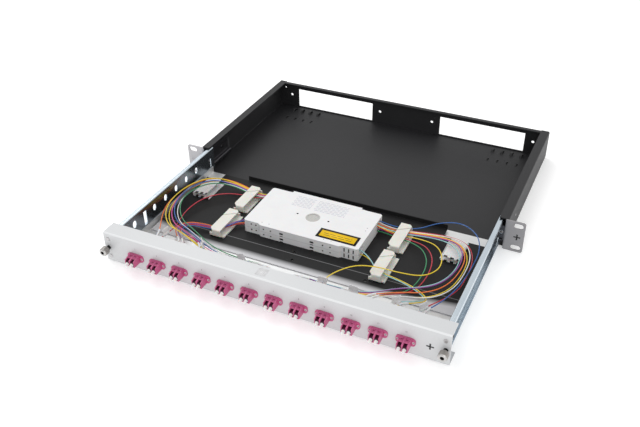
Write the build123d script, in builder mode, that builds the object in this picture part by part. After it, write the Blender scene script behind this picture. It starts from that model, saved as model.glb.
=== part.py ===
from build123d import *
from math import radians, tan
import os

# Sliding fibre splice panel, 19 inch wide and one unit high, with its drawer pulled out.
# Frame: X to the right, Y to the back, Z up, in millimetres. The origin is the centre of
# the pattern of rack slots, on the front face of the ears. The heights below count from the
# underside of the housing, and each piece is lowered to the origin when it is written.

os.makedirs("parts", exist_ok=True)

# Rack interface
RACK_WIDTH = 482.6
UNIT_HEIGHT = 43.6
SLOT_INSET = 8.75
SLOT_SPACING_Z = 31.75
SLOT_LENGTH = 12.4
SLOT_WIDTH = 7.0
EAR_WIDTH = 21.3
EAR_SHEET = 2.0
EAR_LEAF_LENGTH = 70.0
EAR_CORNER = 3.0
EAR_BEND = 1.5
EAR_SEAT = 2.2
RIVET_RADIUS = 1.6
RIVET_HEAD_RADIUS = 3.0
RIVET_HEAD = 0.9
RIVET_FIT = 0.05
EAR_RIVET_YS = (20.0, 48.0)
CROSS_SIZE = 8.0
CROSS_ARM = 1.4
CROSS_DEPTH = 0.6

# Housing
HOUSING_REAR_Y = 246.0
HOUSING_TOP_GAP = 0.6
HOUSING_SHEET = 1.5
HOUSING_BEND = 1.6
FLOOR_FRONT_Y = 6.0
SIDE_FLANGE = 12.0
REAR_FLANGE = 8.0
PILLAR_HALF = 55.7
WINDOW_SIDE = 34.0
WINDOW_BOTTOM_Z = 3.2
WINDOW_TOP = 9.5
REAR_HOLE_RADIUS = 2.2
CENTRE_HOLE_EDGE = 12.8
CORNER_HOLE_SIDE = 21.5
SPARE_HOLE_SIDE = 10.5
SPARE_HOLE_RISE = 11.1
SPARE_HOLE_RADIUS = 1.3
TIE_SIDE = 32.9
TIE_PITCH = 14.2
TIE_COLUMNS = 4
TIE_SLOT_LENGTH = 8.0
TIE_SLOT_WIDTH = 2.6
TIE_SLOT_BACK = 43.0
TIE_BRIDGE_BACK = 15.0
TIE_BRIDGE_LENGTH = 11.0
TIE_BRIDGE_WIDTH = 4.4
TIE_BRIDGE_STRIP = 3.0
TIE_BRIDGE_RISE = 3.4

# Drawer travel and front panel
TRAVEL = 200.0
CLOSED_GAP = 0.5
PANEL_SIDE_GAP = 2.5
PANEL_SHEET = 1.5
PANEL_FLANGE = 21.0
PANEL_BOTTOM_Z = 0.6
PANEL_TOP_GAP = 0.4
PANEL_BEND = 1.5
PANEL_CROSS_INSET = 10.9
PANEL_CROSS_DROP = 1.8

# Slide rails, guides and drawer base; a BACK is a distance behind the panel's face
RAIL_INSET = 11.0
RAIL_SHEET = 1.2
RAIL_DEPTH = 6.5
RAIL_TOP_GAP = 3.1
RAIL_BOTTOM_Z = 5.5
RAIL_LIP = 4.8
RAIL_LIP_GAP = 3.0
RAIL_REAR_Y = 12.0
RAIL_BEND = 1.0
RAIL_HOLE_Z = 27.8
RAIL_HOLE_PITCH = 24.7
RAIL_HOLE_BACK = 88.0
RAIL_HOLE_COUNT = 5
RAIL_HOLE_WIDTH = 6.0
RAIL_HOLE_HEIGHT = 9.0
RAIL_STOP_SLOT_Y = 0.7
RAIL_STOP_SLOT_Z = 20.9
RAIL_STOP_SLOT_HEIGHT = 14.0
RAIL_STOP_SLOT_WIDTH = 4.6
RAIL_WINDOW_BACK = 67.5
RAIL_WINDOW_Z = 24.0
RAIL_WINDOW_HEIGHT = 20.0
RAIL_FRONT_HOLE_BACK = 45.5
RAIL_FRONT_HOLE_WIDTH = 7.0
RAIL_FRONT_HOLE_HEIGHT = 10.0
GUIDE_LENGTH = 62.0
GUIDE_SHEET = 1.2
GUIDE_PLAY = 0.5
BASE_SHEET = 1.2
BASE_SIDE = 10.0
BASE_END = 6.0
BASE_BEND = 1.0
BASE_FRONT_GAP = 1.5

# Captive thumbscrews
SCREW_OFFSET = 5.8
SCREW_SHANK_RADIUS = 1.75
SCREW_NECK_RADIUS = 2.7
SCREW_HEAD_RADIUS = 5.0
SCREW_HEAD_LENGTH = 8.4
SCREW_HEAD_GAP = 4.6
SCREW_HEAD_CHAMFER = 0.8
SCREW_RECESS_RADIUS = 2.2
SCREW_RECESS_DEPTH = 1.5
SCREW_TIP_CHAMFER = 0.5
SCREW_SHOULDER = 1.0
SCREW_LENGTH = 29.0
NUT_RADIUS = 2.9
NUT_SPIGOT_RADIUS = 2.5
NUT_LENGTH = 5.0
SCREW_FIT = 0.1
RETAINER_RADIUS = 4.0
RETAINER_THICKNESS = 1.2
RETAINER_GAP = 0.3
RETAINER_FIT = 0.05
RECEIVER_Y = 4.0

# Small screws that hold the rails to the front panel
PANEL_SCREW_OFFSET = 5.0
PANEL_SCREW_RISE = 12.5
PANEL_SCREW_RADIUS = 1.5
PANEL_SCREW_FIT = 0.05
PANEL_SCREW_END = 1.0
PANEL_SCREW_HEAD_RADIUS = 2.6
PANEL_SCREW_HEAD = 0.9
PANEL_SCREW_ROUND = 0.5

# Mounting plate
PLATE_SHEET = 1.2
PLATE_TOP_Z = 6.5
PLATE_SIDE_GAP = 3.0
PLATE_REAR_BACK = 225.5
PLATE_FOLD_BACK = 97.5
PLATE_FRONT_BACK = 71.5
PLATE_LIP = 7.0
PLATE_NOTCH_WIDTH = 58.5
PLATE_NOTCH_LENGTH = 18.0
PLATE_HOLE_BACKS = ((-12.0, 101.5), (-8.0, 87.0), (88.0, 87.0))
PLATE_HOLE_RADIUS = 1.8

# Splice cassettes
CASSETTE_X = -12.0
CASSETTE_BACK = 155.0
CASSETTE_WIDTH = 157.0
CASSETTE_DEPTH = 84.0
CASSETTE_STEP = 2.5
CASSETTE_STEP_IN = 21.5
CASSETTE_STEP_SLANT = 3.0
CASSETTE_HEIGHT = 8.2
CASSETTE_WALL = 1.5
CASSETTE_CORNER = 2.0
COVER_SHEET = 1.2
DISH_RADIUS = 7.5
DISH_DEPTH = 0.5
COVER_HOLE_X = 21.7
COVER_HOLE_RADIUS = 1.2
ENTRY_WIDTH = 14.0
ENTRY_HEIGHT = 5.0
ENTRY_INSET = 5.0
DRUM_RADIUS = 20.0
DRUM_WALL = 1.2
LATCH_SHIFT = -3.0
LATCH_X = 21.0
LATCH_WIDTH = 5.0
LATCH_HEIGHT = 2.6
RECESS_DEPTH = 0.9
DIMPLE_XS = (36.0, 46.0)
DIMPLE_RADIUS = 0.7
DOT_XS = (61.0, 67.6)
DOT_RISE = 1.0
DOT_SIZE = 2.0
FINGER_XS = (60.5, 66.5, 72.5)
FINGER_WIDTH = 1.6
FINGER_HEIGHT = 5.6
STUD_RADIUS = 2.0
STUD_FIT = 0.2
STUD_NUT_RADIUS = 3.6
STUD_GAP = 0.3
HINGE_HALF = 53.7
HINGE_LUG = 4.0
HINGE_REACH = 3.5
HINGE_PIN_RADIUS = 1.0
HINGE_BARREL_RADIUS = 1.5
HINGE_FIT = 0.08
HINGE_GAP = 0.3
COMB_LENGTH = 40.0
COMB_WIDTH = 26.0
COMB_BASE = 1.0
COMB_HEIGHT = 4.0
COMB_WALL = 1.0
COMB_SLOTS = 6
COMB_INSET = 2.0
SLEEVE_PITCH = 3.8

# Fibre guides and clamps
FIBRE_GUIDE_LENGTH = 52.0
FIBRE_GUIDE_WIDTH = 15.0
FIBRE_GUIDE_BASE = 20.0
FIBRE_GUIDE_HEIGHT = 10.0
FIBRE_GUIDE_WALL = 1.6
FIBRE_GUIDE_SLIT = 1.2
FIBRE_GUIDE_SLIT_TURN = 35.0
FIBRE_GUIDE_CORNER = 6.0
FIBRE_GUIDE_GAP_LEFT = 28.0
FIBRE_GUIDE_GAP_RIGHT = 32.0
FIBRE_GUIDE_REAR_BACKS = {-1: 175.0, 1: 176.0}
FIBRE_GUIDE_FRONT_BACK = 115.0
CLAMP_WIDTH = 25.0
CLAMP_LENGTH = 40.0
CLAMP_HEIGHT = 8.0
CLAMP_SHEET = 1.0
CLAMP_BEND = 1.8
CLAMP_FALL = 2.0
CLAMP_MOUTH = 4.0
CLAMP_LEFT_INSET = 20.5
CLAMP_RIGHT_INSET = 36.5
CLAMP_LEFT_BACK = 178.5
CLAMP_RIGHT_BACK = 179.5

# Adapters, dust caps and pigtail plugs
ADAPTER_COUNT = 12
ADAPTER_ROW_X = -1.75
ADAPTER_MARGIN = 46.45
ADAPTER_BOTTOM_Z = 13.9
ADAPTER_WIDTH = 13.0
ADAPTER_HEIGHT = 10.1
ADAPTER_FRONT = 13.0
ADAPTER_REAR = 13.0
ADAPTER_FIT = 0.2
ADAPTER_FLANGE_WIDTH = 22.0
ADAPTER_FLANGE_SHEET = 1.5
ADAPTER_FLANGE_ROUND = 3.5
ADAPTER_HOLE_X = 8.9
ADAPTER_HOLE_RADIUS = 1.3
ADAPTER_RIDGE_LENGTH = 2.5
ADAPTER_RIDGE = 0.4
PORT_PITCH = 6.25
PORT_WIDTH = 5.0
PORT_HEIGHT = 5.2
PORT_DEPTH = 9.0
PORT_Z = 17.5
LATCH_SLOT_WIDTH = 4.4
LATCH_SLOT_LENGTH = 6.4
LATCH_WINDOW_WIDTH = 2.4
LATCH_WINDOW_LENGTH = 1.2
LATCH_WINDOW_GAP = 1.0
PRONG_FALL = 1.8
SLEEVE_RADIUS = 0.8
CAP_RADIUS = 2.3
CAP_LENGTH = 4.0
CAP_TIP_RADIUS = 1.5
STEM_LENGTH = 8.0
STEM_FIT = 0.2
PLUG_BODY = 11.0
PLUG_COLLAR = 2.0
PLUG_COLLAR_WIDTH = 5.6
LATCH_ARM_WIDTH = 2.0
LATCH_ARM_RISE = 3.2
LATCH_ARM_SHEET = 0.8
BOOT_LENGTH = 19.0
BOOT_RADIUS = 1.6
BOOT_END_RADIUS = 0.9
FIBRE_RADIUS = 0.5

# Places worked out from the sizes above
MID_Z = UNIT_HEIGHT / 2
SCREW_Z = MID_Z
HOUSING_WIDTH = RACK_WIDTH - 2 * EAR_WIDTH
HOUSING_HEIGHT = UNIT_HEIGHT - HOUSING_TOP_GAP
HOUSING_FRONT_Y = EAR_SHEET + EAR_SEAT
WINDOW_OUTER_X = HOUSING_WIDTH / 2 - WINDOW_SIDE
WINDOW_TOP_Z = HOUSING_HEIGHT - WINDOW_TOP
PANEL_WIDTH = HOUSING_WIDTH - 2 * PANEL_SIDE_GAP
PANEL_TOP_Z = UNIT_HEIGHT - PANEL_TOP_GAP
RAIL_WEB_X = PANEL_WIDTH / 2 - RAIL_INSET
SCREW_X = RAIL_WEB_X + SCREW_OFFSET
PANEL_SCREW_X = RAIL_WEB_X + PANEL_SCREW_OFFSET
PANEL_SCREW_ZS = (SCREW_Z - PANEL_SCREW_RISE, SCREW_Z + PANEL_SCREW_RISE)
PLATE_WIDTH = 2 * (RAIL_WEB_X - PLATE_SIDE_GAP)
CLOSED_FACE_Y = -PANEL_FLANGE - CLOSED_GAP
FACE_Y = CLOSED_FACE_Y - TRAVEL
FACE_BACK_Y = FACE_Y + PANEL_SHEET
HOUSING_INNER_X = HOUSING_WIDTH / 2 - HOUSING_SHEET
LEAF_INNER_X = HOUSING_INNER_X - EAR_SHEET
SLOT_X = RACK_WIDTH / 2 - SLOT_INSET
BASE_BOTTOM_Z = PANEL_BOTTOM_Z + PANEL_SHEET
BASE_TOP_Z = BASE_BOTTOM_Z + BASE_SHEET
RAIL_OUTER_X = RAIL_WEB_X + RAIL_DEPTH
RAIL_TOP_Z = UNIT_HEIGHT - RAIL_TOP_GAP
RAIL_HEIGHT = RAIL_TOP_Z - RAIL_BOTTOM_Z
GUIDE_CROWN_HALF = SCREW_Z - RAIL_BOTTOM_Z - RAIL_LIP - GUIDE_PLAY - GUIDE_SHEET / 2
TAB_BACK_Y = FACE_BACK_Y + RAIL_SHEET
BASE_REAR_Y = RAIL_REAR_Y - BASE_END
PLATE_REAR_Y = FACE_Y + PLATE_REAR_BACK
PLATE_FOLD_Y = FACE_Y + PLATE_FOLD_BACK
PLATE_FRONT_Y = FACE_Y + PLATE_FRONT_BACK
CASSETTE_Y = FACE_Y + CASSETTE_BACK
TRAY_Z = (PLATE_TOP_Z, PLATE_TOP_Z + CASSETTE_HEIGHT)
COVER_Z = PLATE_TOP_Z + 2 * CASSETTE_HEIGHT
CASSETTE_FRONT_Y = CASSETTE_Y - CASSETTE_DEPTH / 2
CASSETTE_BACK_Y = CASSETTE_Y + CASSETTE_DEPTH / 2
HINGE_Y = CASSETTE_BACK_Y + HINGE_BARREL_RADIUS + HINGE_GAP
HINGE_Z = COVER_Z - HINGE_BARREL_RADIUS - HINGE_GAP / 3
ADAPTER_PITCH = (PANEL_WIDTH - 2 * ADAPTER_MARGIN) / (ADAPTER_COUNT - 1)
ADAPTER_XS = [ADAPTER_ROW_X + ADAPTER_PITCH * (i - (ADAPTER_COUNT - 1) / 2) for i in range(ADAPTER_COUNT)]
PORT_XS = [x + side * PORT_PITCH / 2 for x in ADAPTER_XS for side in (-1, 1)]
ADAPTER_Z = ADAPTER_BOTTOM_Z + ADAPTER_HEIGHT / 2
ADAPTER_TOP_Z = ADAPTER_BOTTOM_Z + ADAPTER_HEIGHT
ADAPTER_REAR_Y = FACE_Y + ADAPTER_REAR
BOOT_END_Y = ADAPTER_REAR_Y + PLUG_BODY + BOOT_LENGTH
CLIP_XS = {-1: CASSETTE_X - CASSETTE_WIDTH / 2 - FIBRE_GUIDE_GAP_LEFT,
           1: CASSETTE_X + CASSETTE_WIDTH / 2 + FIBRE_GUIDE_GAP_RIGHT}
FIBRE_GUIDES = {
    "fibre_guide_rear_left": (CLIP_XS[-1], FACE_Y + FIBRE_GUIDE_REAR_BACKS[-1]),
    "fibre_guide_front_left": (CLIP_XS[-1], FACE_Y + FIBRE_GUIDE_FRONT_BACK),
    "fibre_guide_rear_right": (CLIP_XS[1], FACE_Y + FIBRE_GUIDE_REAR_BACKS[1]),
    "fibre_guide_front_right": (CLIP_XS[1], FACE_Y + FIBRE_GUIDE_FRONT_BACK),
}
CLAMPS = {
    "cable_clamp_left": (CLAMP_LEFT_INSET - PLATE_WIDTH / 2, FACE_Y + CLAMP_LEFT_BACK),
    "cable_clamp_right": (PLATE_WIDTH / 2 - CLAMP_RIGHT_INSET, FACE_Y + CLAMP_RIGHT_BACK),
}


def section_at(y):
    """Plane across the drawer at y, with local x to the right and local y up."""
    return Plane((0, y, 0), x_dir=(1, 0, 0), z_dir=(0, -1, 0))


def side_at(x):
    """Plane along the drawer at x, with local x to the back and local y up."""
    return Plane.YZ.offset(x)


def axis_at(x, y, z):
    """Plane facing the front with its origin on a screw or port axis."""
    return Plane((x, y, z), x_dir=(1, 0, 0), z_dir=(0, -1, 0))


def save(name, *shapes):
    """Lower the finished solids of one piece to the origin, label them and write them as one file."""
    lowered = [shape.moved(Location((0, 0, -MID_Z))) for shape in shapes]
    shape = lowered[0] if len(lowered) == 1 else Compound(children=lowered)
    shape.label = name
    export_step(shape, f"parts/{name}.step")


def folded(points, radius, thickness):
    """Add the closed section of a bent sheet, given the middle line through its points."""
    with BuildLine() as middle:
        FilletPolyline(*points, radius=radius)
    trace(middle.line.edges(), line_width=thickness)


def cross(x, y, z):
    """Sink a cross-shaped mark into a front face at y."""
    with BuildSketch(axis_at(x, y, z)) as mark:
        Rectangle(CROSS_SIZE, CROSS_ARM)
        Rectangle(CROSS_ARM, CROSS_SIZE)
    extrude(mark.sketch, amount=-CROSS_DEPTH, mode=Mode.SUBTRACT)


def tray_outline():
    """Add the outline of the cassettes and their cover, whose front steps back at both ends."""
    end = CASSETTE_WIDTH / 2
    block = end - CASSETTE_STEP_IN
    step_y = CASSETTE_FRONT_Y + CASSETTE_STEP
    front_end = block - CASSETTE_STEP_SLANT
    right = [(end, CASSETTE_BACK_Y), (end, step_y), (block, step_y), (front_end, CASSETTE_FRONT_Y)]
    left = [(-x, y) for x, y in reversed(right)]
    with BuildLine() as line:
        Polyline(*[(CASSETTE_X + x, y) for x, y in right + left], close=True)
    make_face(line.line.edges())
    ends = vertices().group_by(Axis.X)
    chamfer(ends[0] + ends[-1], CASSETTE_CORNER)


# Housing: floor, sides and narrow top flanges folded from one sheet, with a rear wall
def make_housing():
    half = HOUSING_WIDTH / 2 - HOUSING_SHEET / 2
    low = HOUSING_SHEET / 2
    high = HOUSING_HEIGHT - HOUSING_SHEET / 2
    flange_x = HOUSING_WIDTH / 2 - SIDE_FLANGE
    points = [(-flange_x, high), (-half, high), (-half, low), (half, low), (half, high), (flange_x, high)]
    with BuildPart() as housing:
        with BuildSketch(section_at(HOUSING_REAR_Y)):
            folded(points, HOUSING_BEND, HOUSING_SHEET)
        extrude(amount=HOUSING_REAR_Y - HOUSING_FRONT_Y)
        with BuildSketch(side_at(-HOUSING_INNER_X)):
            rear = HOUSING_REAR_Y - HOUSING_SHEET / 2
            rim = HOUSING_REAR_Y - REAR_FLANGE
            folded([(rear, low), (rear, high), (rim, high)], HOUSING_BEND, HOUSING_SHEET)
        extrude(amount=2 * HOUSING_INNER_X)
        with BuildSketch(Plane.XY):
            with Locations((0, FLOOR_FRONT_Y / 2)):
                Rectangle(2 * HOUSING_INNER_X, FLOOR_FRONT_Y)
        extrude(amount=HOUSING_BEND + HOUSING_SHEET, mode=Mode.SUBTRACT)
        with BuildSketch(section_at(HOUSING_REAR_Y)):
            window_x = (PILLAR_HALF + WINDOW_OUTER_X) / 2
            window_z = (WINDOW_BOTTOM_Z + WINDOW_TOP_Z) / 2
            with Locations((-window_x, window_z), (window_x, window_z)):
                Rectangle(WINDOW_OUTER_X - PILLAR_HALF, WINDOW_TOP_Z - WINDOW_BOTTOM_Z)
            columns = (PILLAR_HALF - CENTRE_HOLE_EDGE, HOUSING_WIDTH / 2 - CORNER_HOLE_SIDE)
            with Locations(*[(side * x, MID_Z) for x in columns for side in (-1, 1)]):
                Circle(REAR_HOLE_RADIUS)
            with Locations((SPARE_HOLE_SIDE - HOUSING_WIDTH / 2, MID_Z + SPARE_HOLE_RISE)):
                Circle(SPARE_HOLE_RADIUS)
        extrude(amount=2 * HOUSING_SHEET, mode=Mode.SUBTRACT)
        tie_xs = [HOUSING_WIDTH / 2 - TIE_SIDE - TIE_PITCH * i for i in range(TIE_COLUMNS)]
        bridge_y = HOUSING_REAR_Y - TIE_BRIDGE_BACK
        with BuildSketch(Plane.XY):
            with Locations(*[(side * x, HOUSING_REAR_Y - TIE_SLOT_BACK) for x in tie_xs for side in (-1, 1)]):
                SlotOverall(TIE_SLOT_LENGTH, TIE_SLOT_WIDTH, rotation=90)
            with Locations(*[(side * x, bridge_y) for x in tie_xs for side in (-1, 1)]):
                Rectangle(TIE_BRIDGE_WIDTH, TIE_BRIDGE_LENGTH)
        extrude(amount=HOUSING_SHEET, mode=Mode.SUBTRACT)
        foot = TIE_BRIDGE_LENGTH / 2
        ramp = 2 * HOUSING_SHEET
        rise = [(foot + ramp, low), (foot, low), (foot - ramp, low + TIE_BRIDGE_RISE)]
        strip = [(bridge_y - y, z) for y, z in rise] + [(bridge_y + y, z) for y, z in reversed(rise)]
        for x in tie_xs:
            for side in (-1, 1):
                with BuildSketch(side_at(side * x - TIE_BRIDGE_STRIP / 2)):
                    folded(strip, HOUSING_BEND, HOUSING_SHEET)
                extrude(amount=TIE_BRIDGE_STRIP)
        with BuildSketch(side_at(-HOUSING_WIDTH / 2)):
            with Locations(*[(y, SCREW_Z) for y in EAR_RIVET_YS]):
                Circle(RIVET_RADIUS + RIVET_FIT)
        extrude(amount=HOUSING_WIDTH, mode=Mode.SUBTRACT)
    return housing.part


# Right ear: front plate with two rack slots, folded leaf inside the housing wall
def make_ear():
    with BuildPart() as ear:
        with BuildSketch(Plane.XY):
            mid = EAR_SHEET / 2
            leaf_x = HOUSING_INNER_X - mid
            folded([(RACK_WIDTH / 2, mid), (leaf_x, mid), (leaf_x, EAR_LEAF_LENGTH)], EAR_BEND, EAR_SHEET)
        extrude(amount=UNIT_HEIGHT)
        corners = ear.edges().filter_by(Axis.Y).group_by(Axis.X)[-1]
        fillet(corners, EAR_CORNER)
        with BuildSketch(side_at(HOUSING_INNER_X - 2 * EAR_SHEET)):
            trim_y = (EAR_SHEET + EAR_LEAF_LENGTH) / 2
            trim_length = EAR_LEAF_LENGTH - EAR_SHEET
            trim = UNIT_HEIGHT - HOUSING_HEIGHT + HOUSING_SHEET + HOUSING_BEND
            with Locations((trim_y, UNIT_HEIGHT - trim / 2), (trim_y, (HOUSING_SHEET + HOUSING_BEND) / 2)):
                Rectangle(trim_length, trim)
        extrude(amount=2 * EAR_SHEET, mode=Mode.SUBTRACT)
        with BuildSketch(section_at(EAR_SHEET)):
            with Locations((SLOT_X, MID_Z)):
                with GridLocations(1, SLOT_SPACING_Z, 1, 2):
                    SlotOverall(SLOT_LENGTH, SLOT_WIDTH)
        extrude(amount=EAR_SHEET, mode=Mode.SUBTRACT)
        cross(SLOT_X, 0, MID_Z)
        with BuildSketch(side_at(LEAF_INNER_X)):
            with Locations(*[(y, SCREW_Z) for y in EAR_RIVET_YS]):
                Circle(RIVET_RADIUS + RIVET_FIT)
        extrude(amount=EAR_SHEET, mode=Mode.SUBTRACT)
    return ear.part


# Right guide: hat section riveted to the ear's leaf, whose brims run inside the drawer's rail
def make_guide():
    brim_x = RAIL_OUTER_X - RAIL_SHEET - GUIDE_PLAY - GUIDE_SHEET / 2
    crown_x = LEAF_INNER_X - GUIDE_SHEET / 2
    top = RAIL_TOP_Z - RAIL_SHEET - GUIDE_PLAY
    bottom = RAIL_BOTTOM_Z + RAIL_SHEET + GUIDE_PLAY
    wall_top = SCREW_Z + GUIDE_CROWN_HALF
    wall_bottom = SCREW_Z - GUIDE_CROWN_HALF
    points = [(brim_x, top), (brim_x, wall_top), (crown_x, wall_top),
              (crown_x, wall_bottom), (brim_x, wall_bottom), (brim_x, bottom)]
    with BuildPart() as guide:
        with BuildSketch(section_at(EAR_SHEET + GUIDE_LENGTH)):
            folded(points, GUIDE_SHEET, GUIDE_SHEET)
        extrude(amount=GUIDE_LENGTH)
        with BuildSketch(section_at(RECEIVER_Y + GUIDE_SHEET)):
            with Locations(((brim_x + crown_x) / 2, SCREW_Z)):
                Rectangle(crown_x - brim_x + GUIDE_SHEET, 2 * GUIDE_CROWN_HALF)
        extrude(amount=GUIDE_SHEET)
        with BuildSketch(axis_at(SCREW_X, RECEIVER_Y + GUIDE_SHEET, SCREW_Z)):
            Circle(NUT_SPIGOT_RADIUS)
        extrude(amount=GUIDE_SHEET, mode=Mode.SUBTRACT)
        with BuildSketch(side_at(LEAF_INNER_X - GUIDE_SHEET)):
            with Locations(*[(y, SCREW_Z) for y in EAR_RIVET_YS]):
                Circle(RIVET_RADIUS + RIVET_FIT)
        extrude(amount=GUIDE_SHEET, mode=Mode.SUBTRACT)
    return guide.part


# Rivets through guide, ear leaf and housing wall
def make_ear_rivet(side, y):
    inner = LEAF_INNER_X - GUIDE_SHEET
    with BuildPart() as rivet:
        with BuildSketch(side_at(side * inner)):
            with Locations((y, SCREW_Z)):
                Circle(RIVET_RADIUS)
        extrude(amount=side * (HOUSING_WIDTH / 2 - inner))
        with BuildSketch(side_at(side * inner)):
            with Locations((y, SCREW_Z)):
                Circle(RIVET_HEAD_RADIUS)
        extrude(amount=-side * RIVET_HEAD, taper=30)
    return rivet.part


# Threaded bushes pressed into the guides' front tabs
def make_receiver_nut(x):
    front = axis_at(x, RECEIVER_Y, SCREW_Z)
    back = axis_at(x, RECEIVER_Y + GUIDE_SHEET + NUT_LENGTH, SCREW_Z)
    with BuildPart() as nut:
        with BuildSketch(back):
            Circle(NUT_RADIUS)
        extrude(amount=NUT_LENGTH)
        with BuildSketch(front):
            Circle(NUT_SPIGOT_RADIUS)
        extrude(amount=-GUIDE_SHEET)
        with BuildSketch(back):
            Circle(SCREW_SHANK_RADIUS + SCREW_FIT)
        extrude(amount=NUT_LENGTH + GUIDE_SHEET, mode=Mode.SUBTRACT)
    return nut.part


# Front panel: a C section, open at both ends
def make_front_panel():
    mid_y = FACE_Y + PANEL_SHEET / 2
    rear_y = FACE_Y + PANEL_FLANGE
    top = PANEL_TOP_Z - PANEL_SHEET / 2
    bottom = PANEL_BOTTOM_Z + PANEL_SHEET / 2
    with BuildPart() as panel:
        with BuildSketch(side_at(-PANEL_WIDTH / 2)):
            folded([(rear_y, top), (mid_y, top), (mid_y, bottom), (rear_y, bottom)], PANEL_BEND, PANEL_SHEET)
        extrude(amount=PANEL_WIDTH)
        with BuildSketch(section_at(FACE_BACK_Y)):
            with Locations(*[(x, ADAPTER_Z) for x in ADAPTER_XS]):
                Rectangle(ADAPTER_WIDTH + 2 * ADAPTER_FIT, ADAPTER_HEIGHT + 2 * ADAPTER_FIT)
            with Locations((-SCREW_X, SCREW_Z), (SCREW_X, SCREW_Z)):
                Circle(SCREW_NECK_RADIUS + SCREW_FIT)
            with Locations(*[(side * PANEL_SCREW_X, z) for side in (-1, 1) for z in PANEL_SCREW_ZS]):
                Circle(PANEL_SCREW_RADIUS)
        extrude(amount=PANEL_SHEET, mode=Mode.SUBTRACT)
        cross(RAIL_WEB_X - PANEL_CROSS_INSET, FACE_Y, MID_Z - PANEL_CROSS_DROP)
    return panel.part


# Right drawer rail: lipped channel open to the outside, with a tab that meets the panel
def make_rail():
    web = RAIL_WEB_X + RAIL_SHEET / 2
    lip = RAIL_OUTER_X - RAIL_SHEET / 2
    top = RAIL_TOP_Z - RAIL_SHEET / 2
    bottom = RAIL_BOTTOM_Z + RAIL_SHEET / 2
    points = [(lip, RAIL_TOP_Z - RAIL_LIP), (lip, top), (web, top),
              (web, bottom), (lip, bottom), (lip, RAIL_BOTTOM_Z + RAIL_LIP)]
    with BuildPart() as rail:
        with BuildSketch(section_at(RAIL_REAR_Y)):
            folded(points, RAIL_BEND, RAIL_SHEET)
        extrude(amount=RAIL_REAR_Y - TAB_BACK_Y - RAIL_LIP_GAP)
        mid_z = (RAIL_BOTTOM_Z + RAIL_TOP_Z) / 2
        with BuildSketch(side_at(RAIL_WEB_X)):
            with Locations(((TAB_BACK_Y + RAIL_LIP_GAP + FACE_BACK_Y) / 2, mid_z)):
                Rectangle(TAB_BACK_Y + RAIL_LIP_GAP - FACE_BACK_Y, RAIL_HEIGHT)
        extrude(amount=RAIL_SHEET)
        tab_outer = PANEL_WIDTH / 2 - PANEL_SHEET
        with BuildSketch(section_at(TAB_BACK_Y)):
            with Locations(((RAIL_WEB_X + tab_outer) / 2, mid_z)):
                Rectangle(tab_outer - RAIL_WEB_X, RAIL_HEIGHT)
        extrude(amount=RAIL_SHEET)
        with BuildSketch(section_at(TAB_BACK_Y)):
            with Locations((SCREW_X, SCREW_Z)):
                Circle(SCREW_NECK_RADIUS + SCREW_FIT)
            with Locations(*[(PANEL_SCREW_X, z) for z in PANEL_SCREW_ZS]):
                Circle(PANEL_SCREW_RADIUS)
        extrude(amount=RAIL_SHEET, mode=Mode.SUBTRACT)
        with BuildSketch(side_at(RAIL_WEB_X)):
            hole_y = FACE_Y + RAIL_HOLE_BACK
            with Locations(*[(hole_y + RAIL_HOLE_PITCH * i, RAIL_HOLE_Z) for i in range(RAIL_HOLE_COUNT)]):
                SlotOverall(RAIL_HOLE_HEIGHT, RAIL_HOLE_WIDTH, rotation=90)
            with Locations((RAIL_STOP_SLOT_Y, RAIL_STOP_SLOT_Z)):
                SlotOverall(RAIL_STOP_SLOT_HEIGHT, RAIL_STOP_SLOT_WIDTH, rotation=90)
            with Locations((FACE_Y + RAIL_WINDOW_BACK, RAIL_WINDOW_Z)):
                Rectangle(RAIL_HOLE_WIDTH, RAIL_WINDOW_HEIGHT)
            with Locations((FACE_Y + RAIL_FRONT_HOLE_BACK, RAIL_HOLE_Z)):
                SlotOverall(RAIL_FRONT_HOLE_HEIGHT, RAIL_FRONT_HOLE_WIDTH, rotation=90)
        extrude(amount=RAIL_SHEET, mode=Mode.SUBTRACT)
    return rail.part


# Drawer base: a pan between the rails, lying on the panel's lower flange
def make_drawer_base():
    side = RAIL_WEB_X - BASE_SHEET / 2
    mid = BASE_BOTTOM_Z + BASE_SHEET / 2
    top = BASE_BOTTOM_Z + BASE_SIDE
    with BuildPart() as base:
        with BuildSketch(section_at(BASE_REAR_Y)):
            folded([(-side, top), (-side, mid), (side, mid), (side, top)], BASE_BEND, BASE_SHEET)
        extrude(amount=BASE_REAR_Y - FACE_BACK_Y - BASE_FRONT_GAP)
    return base.part


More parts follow.
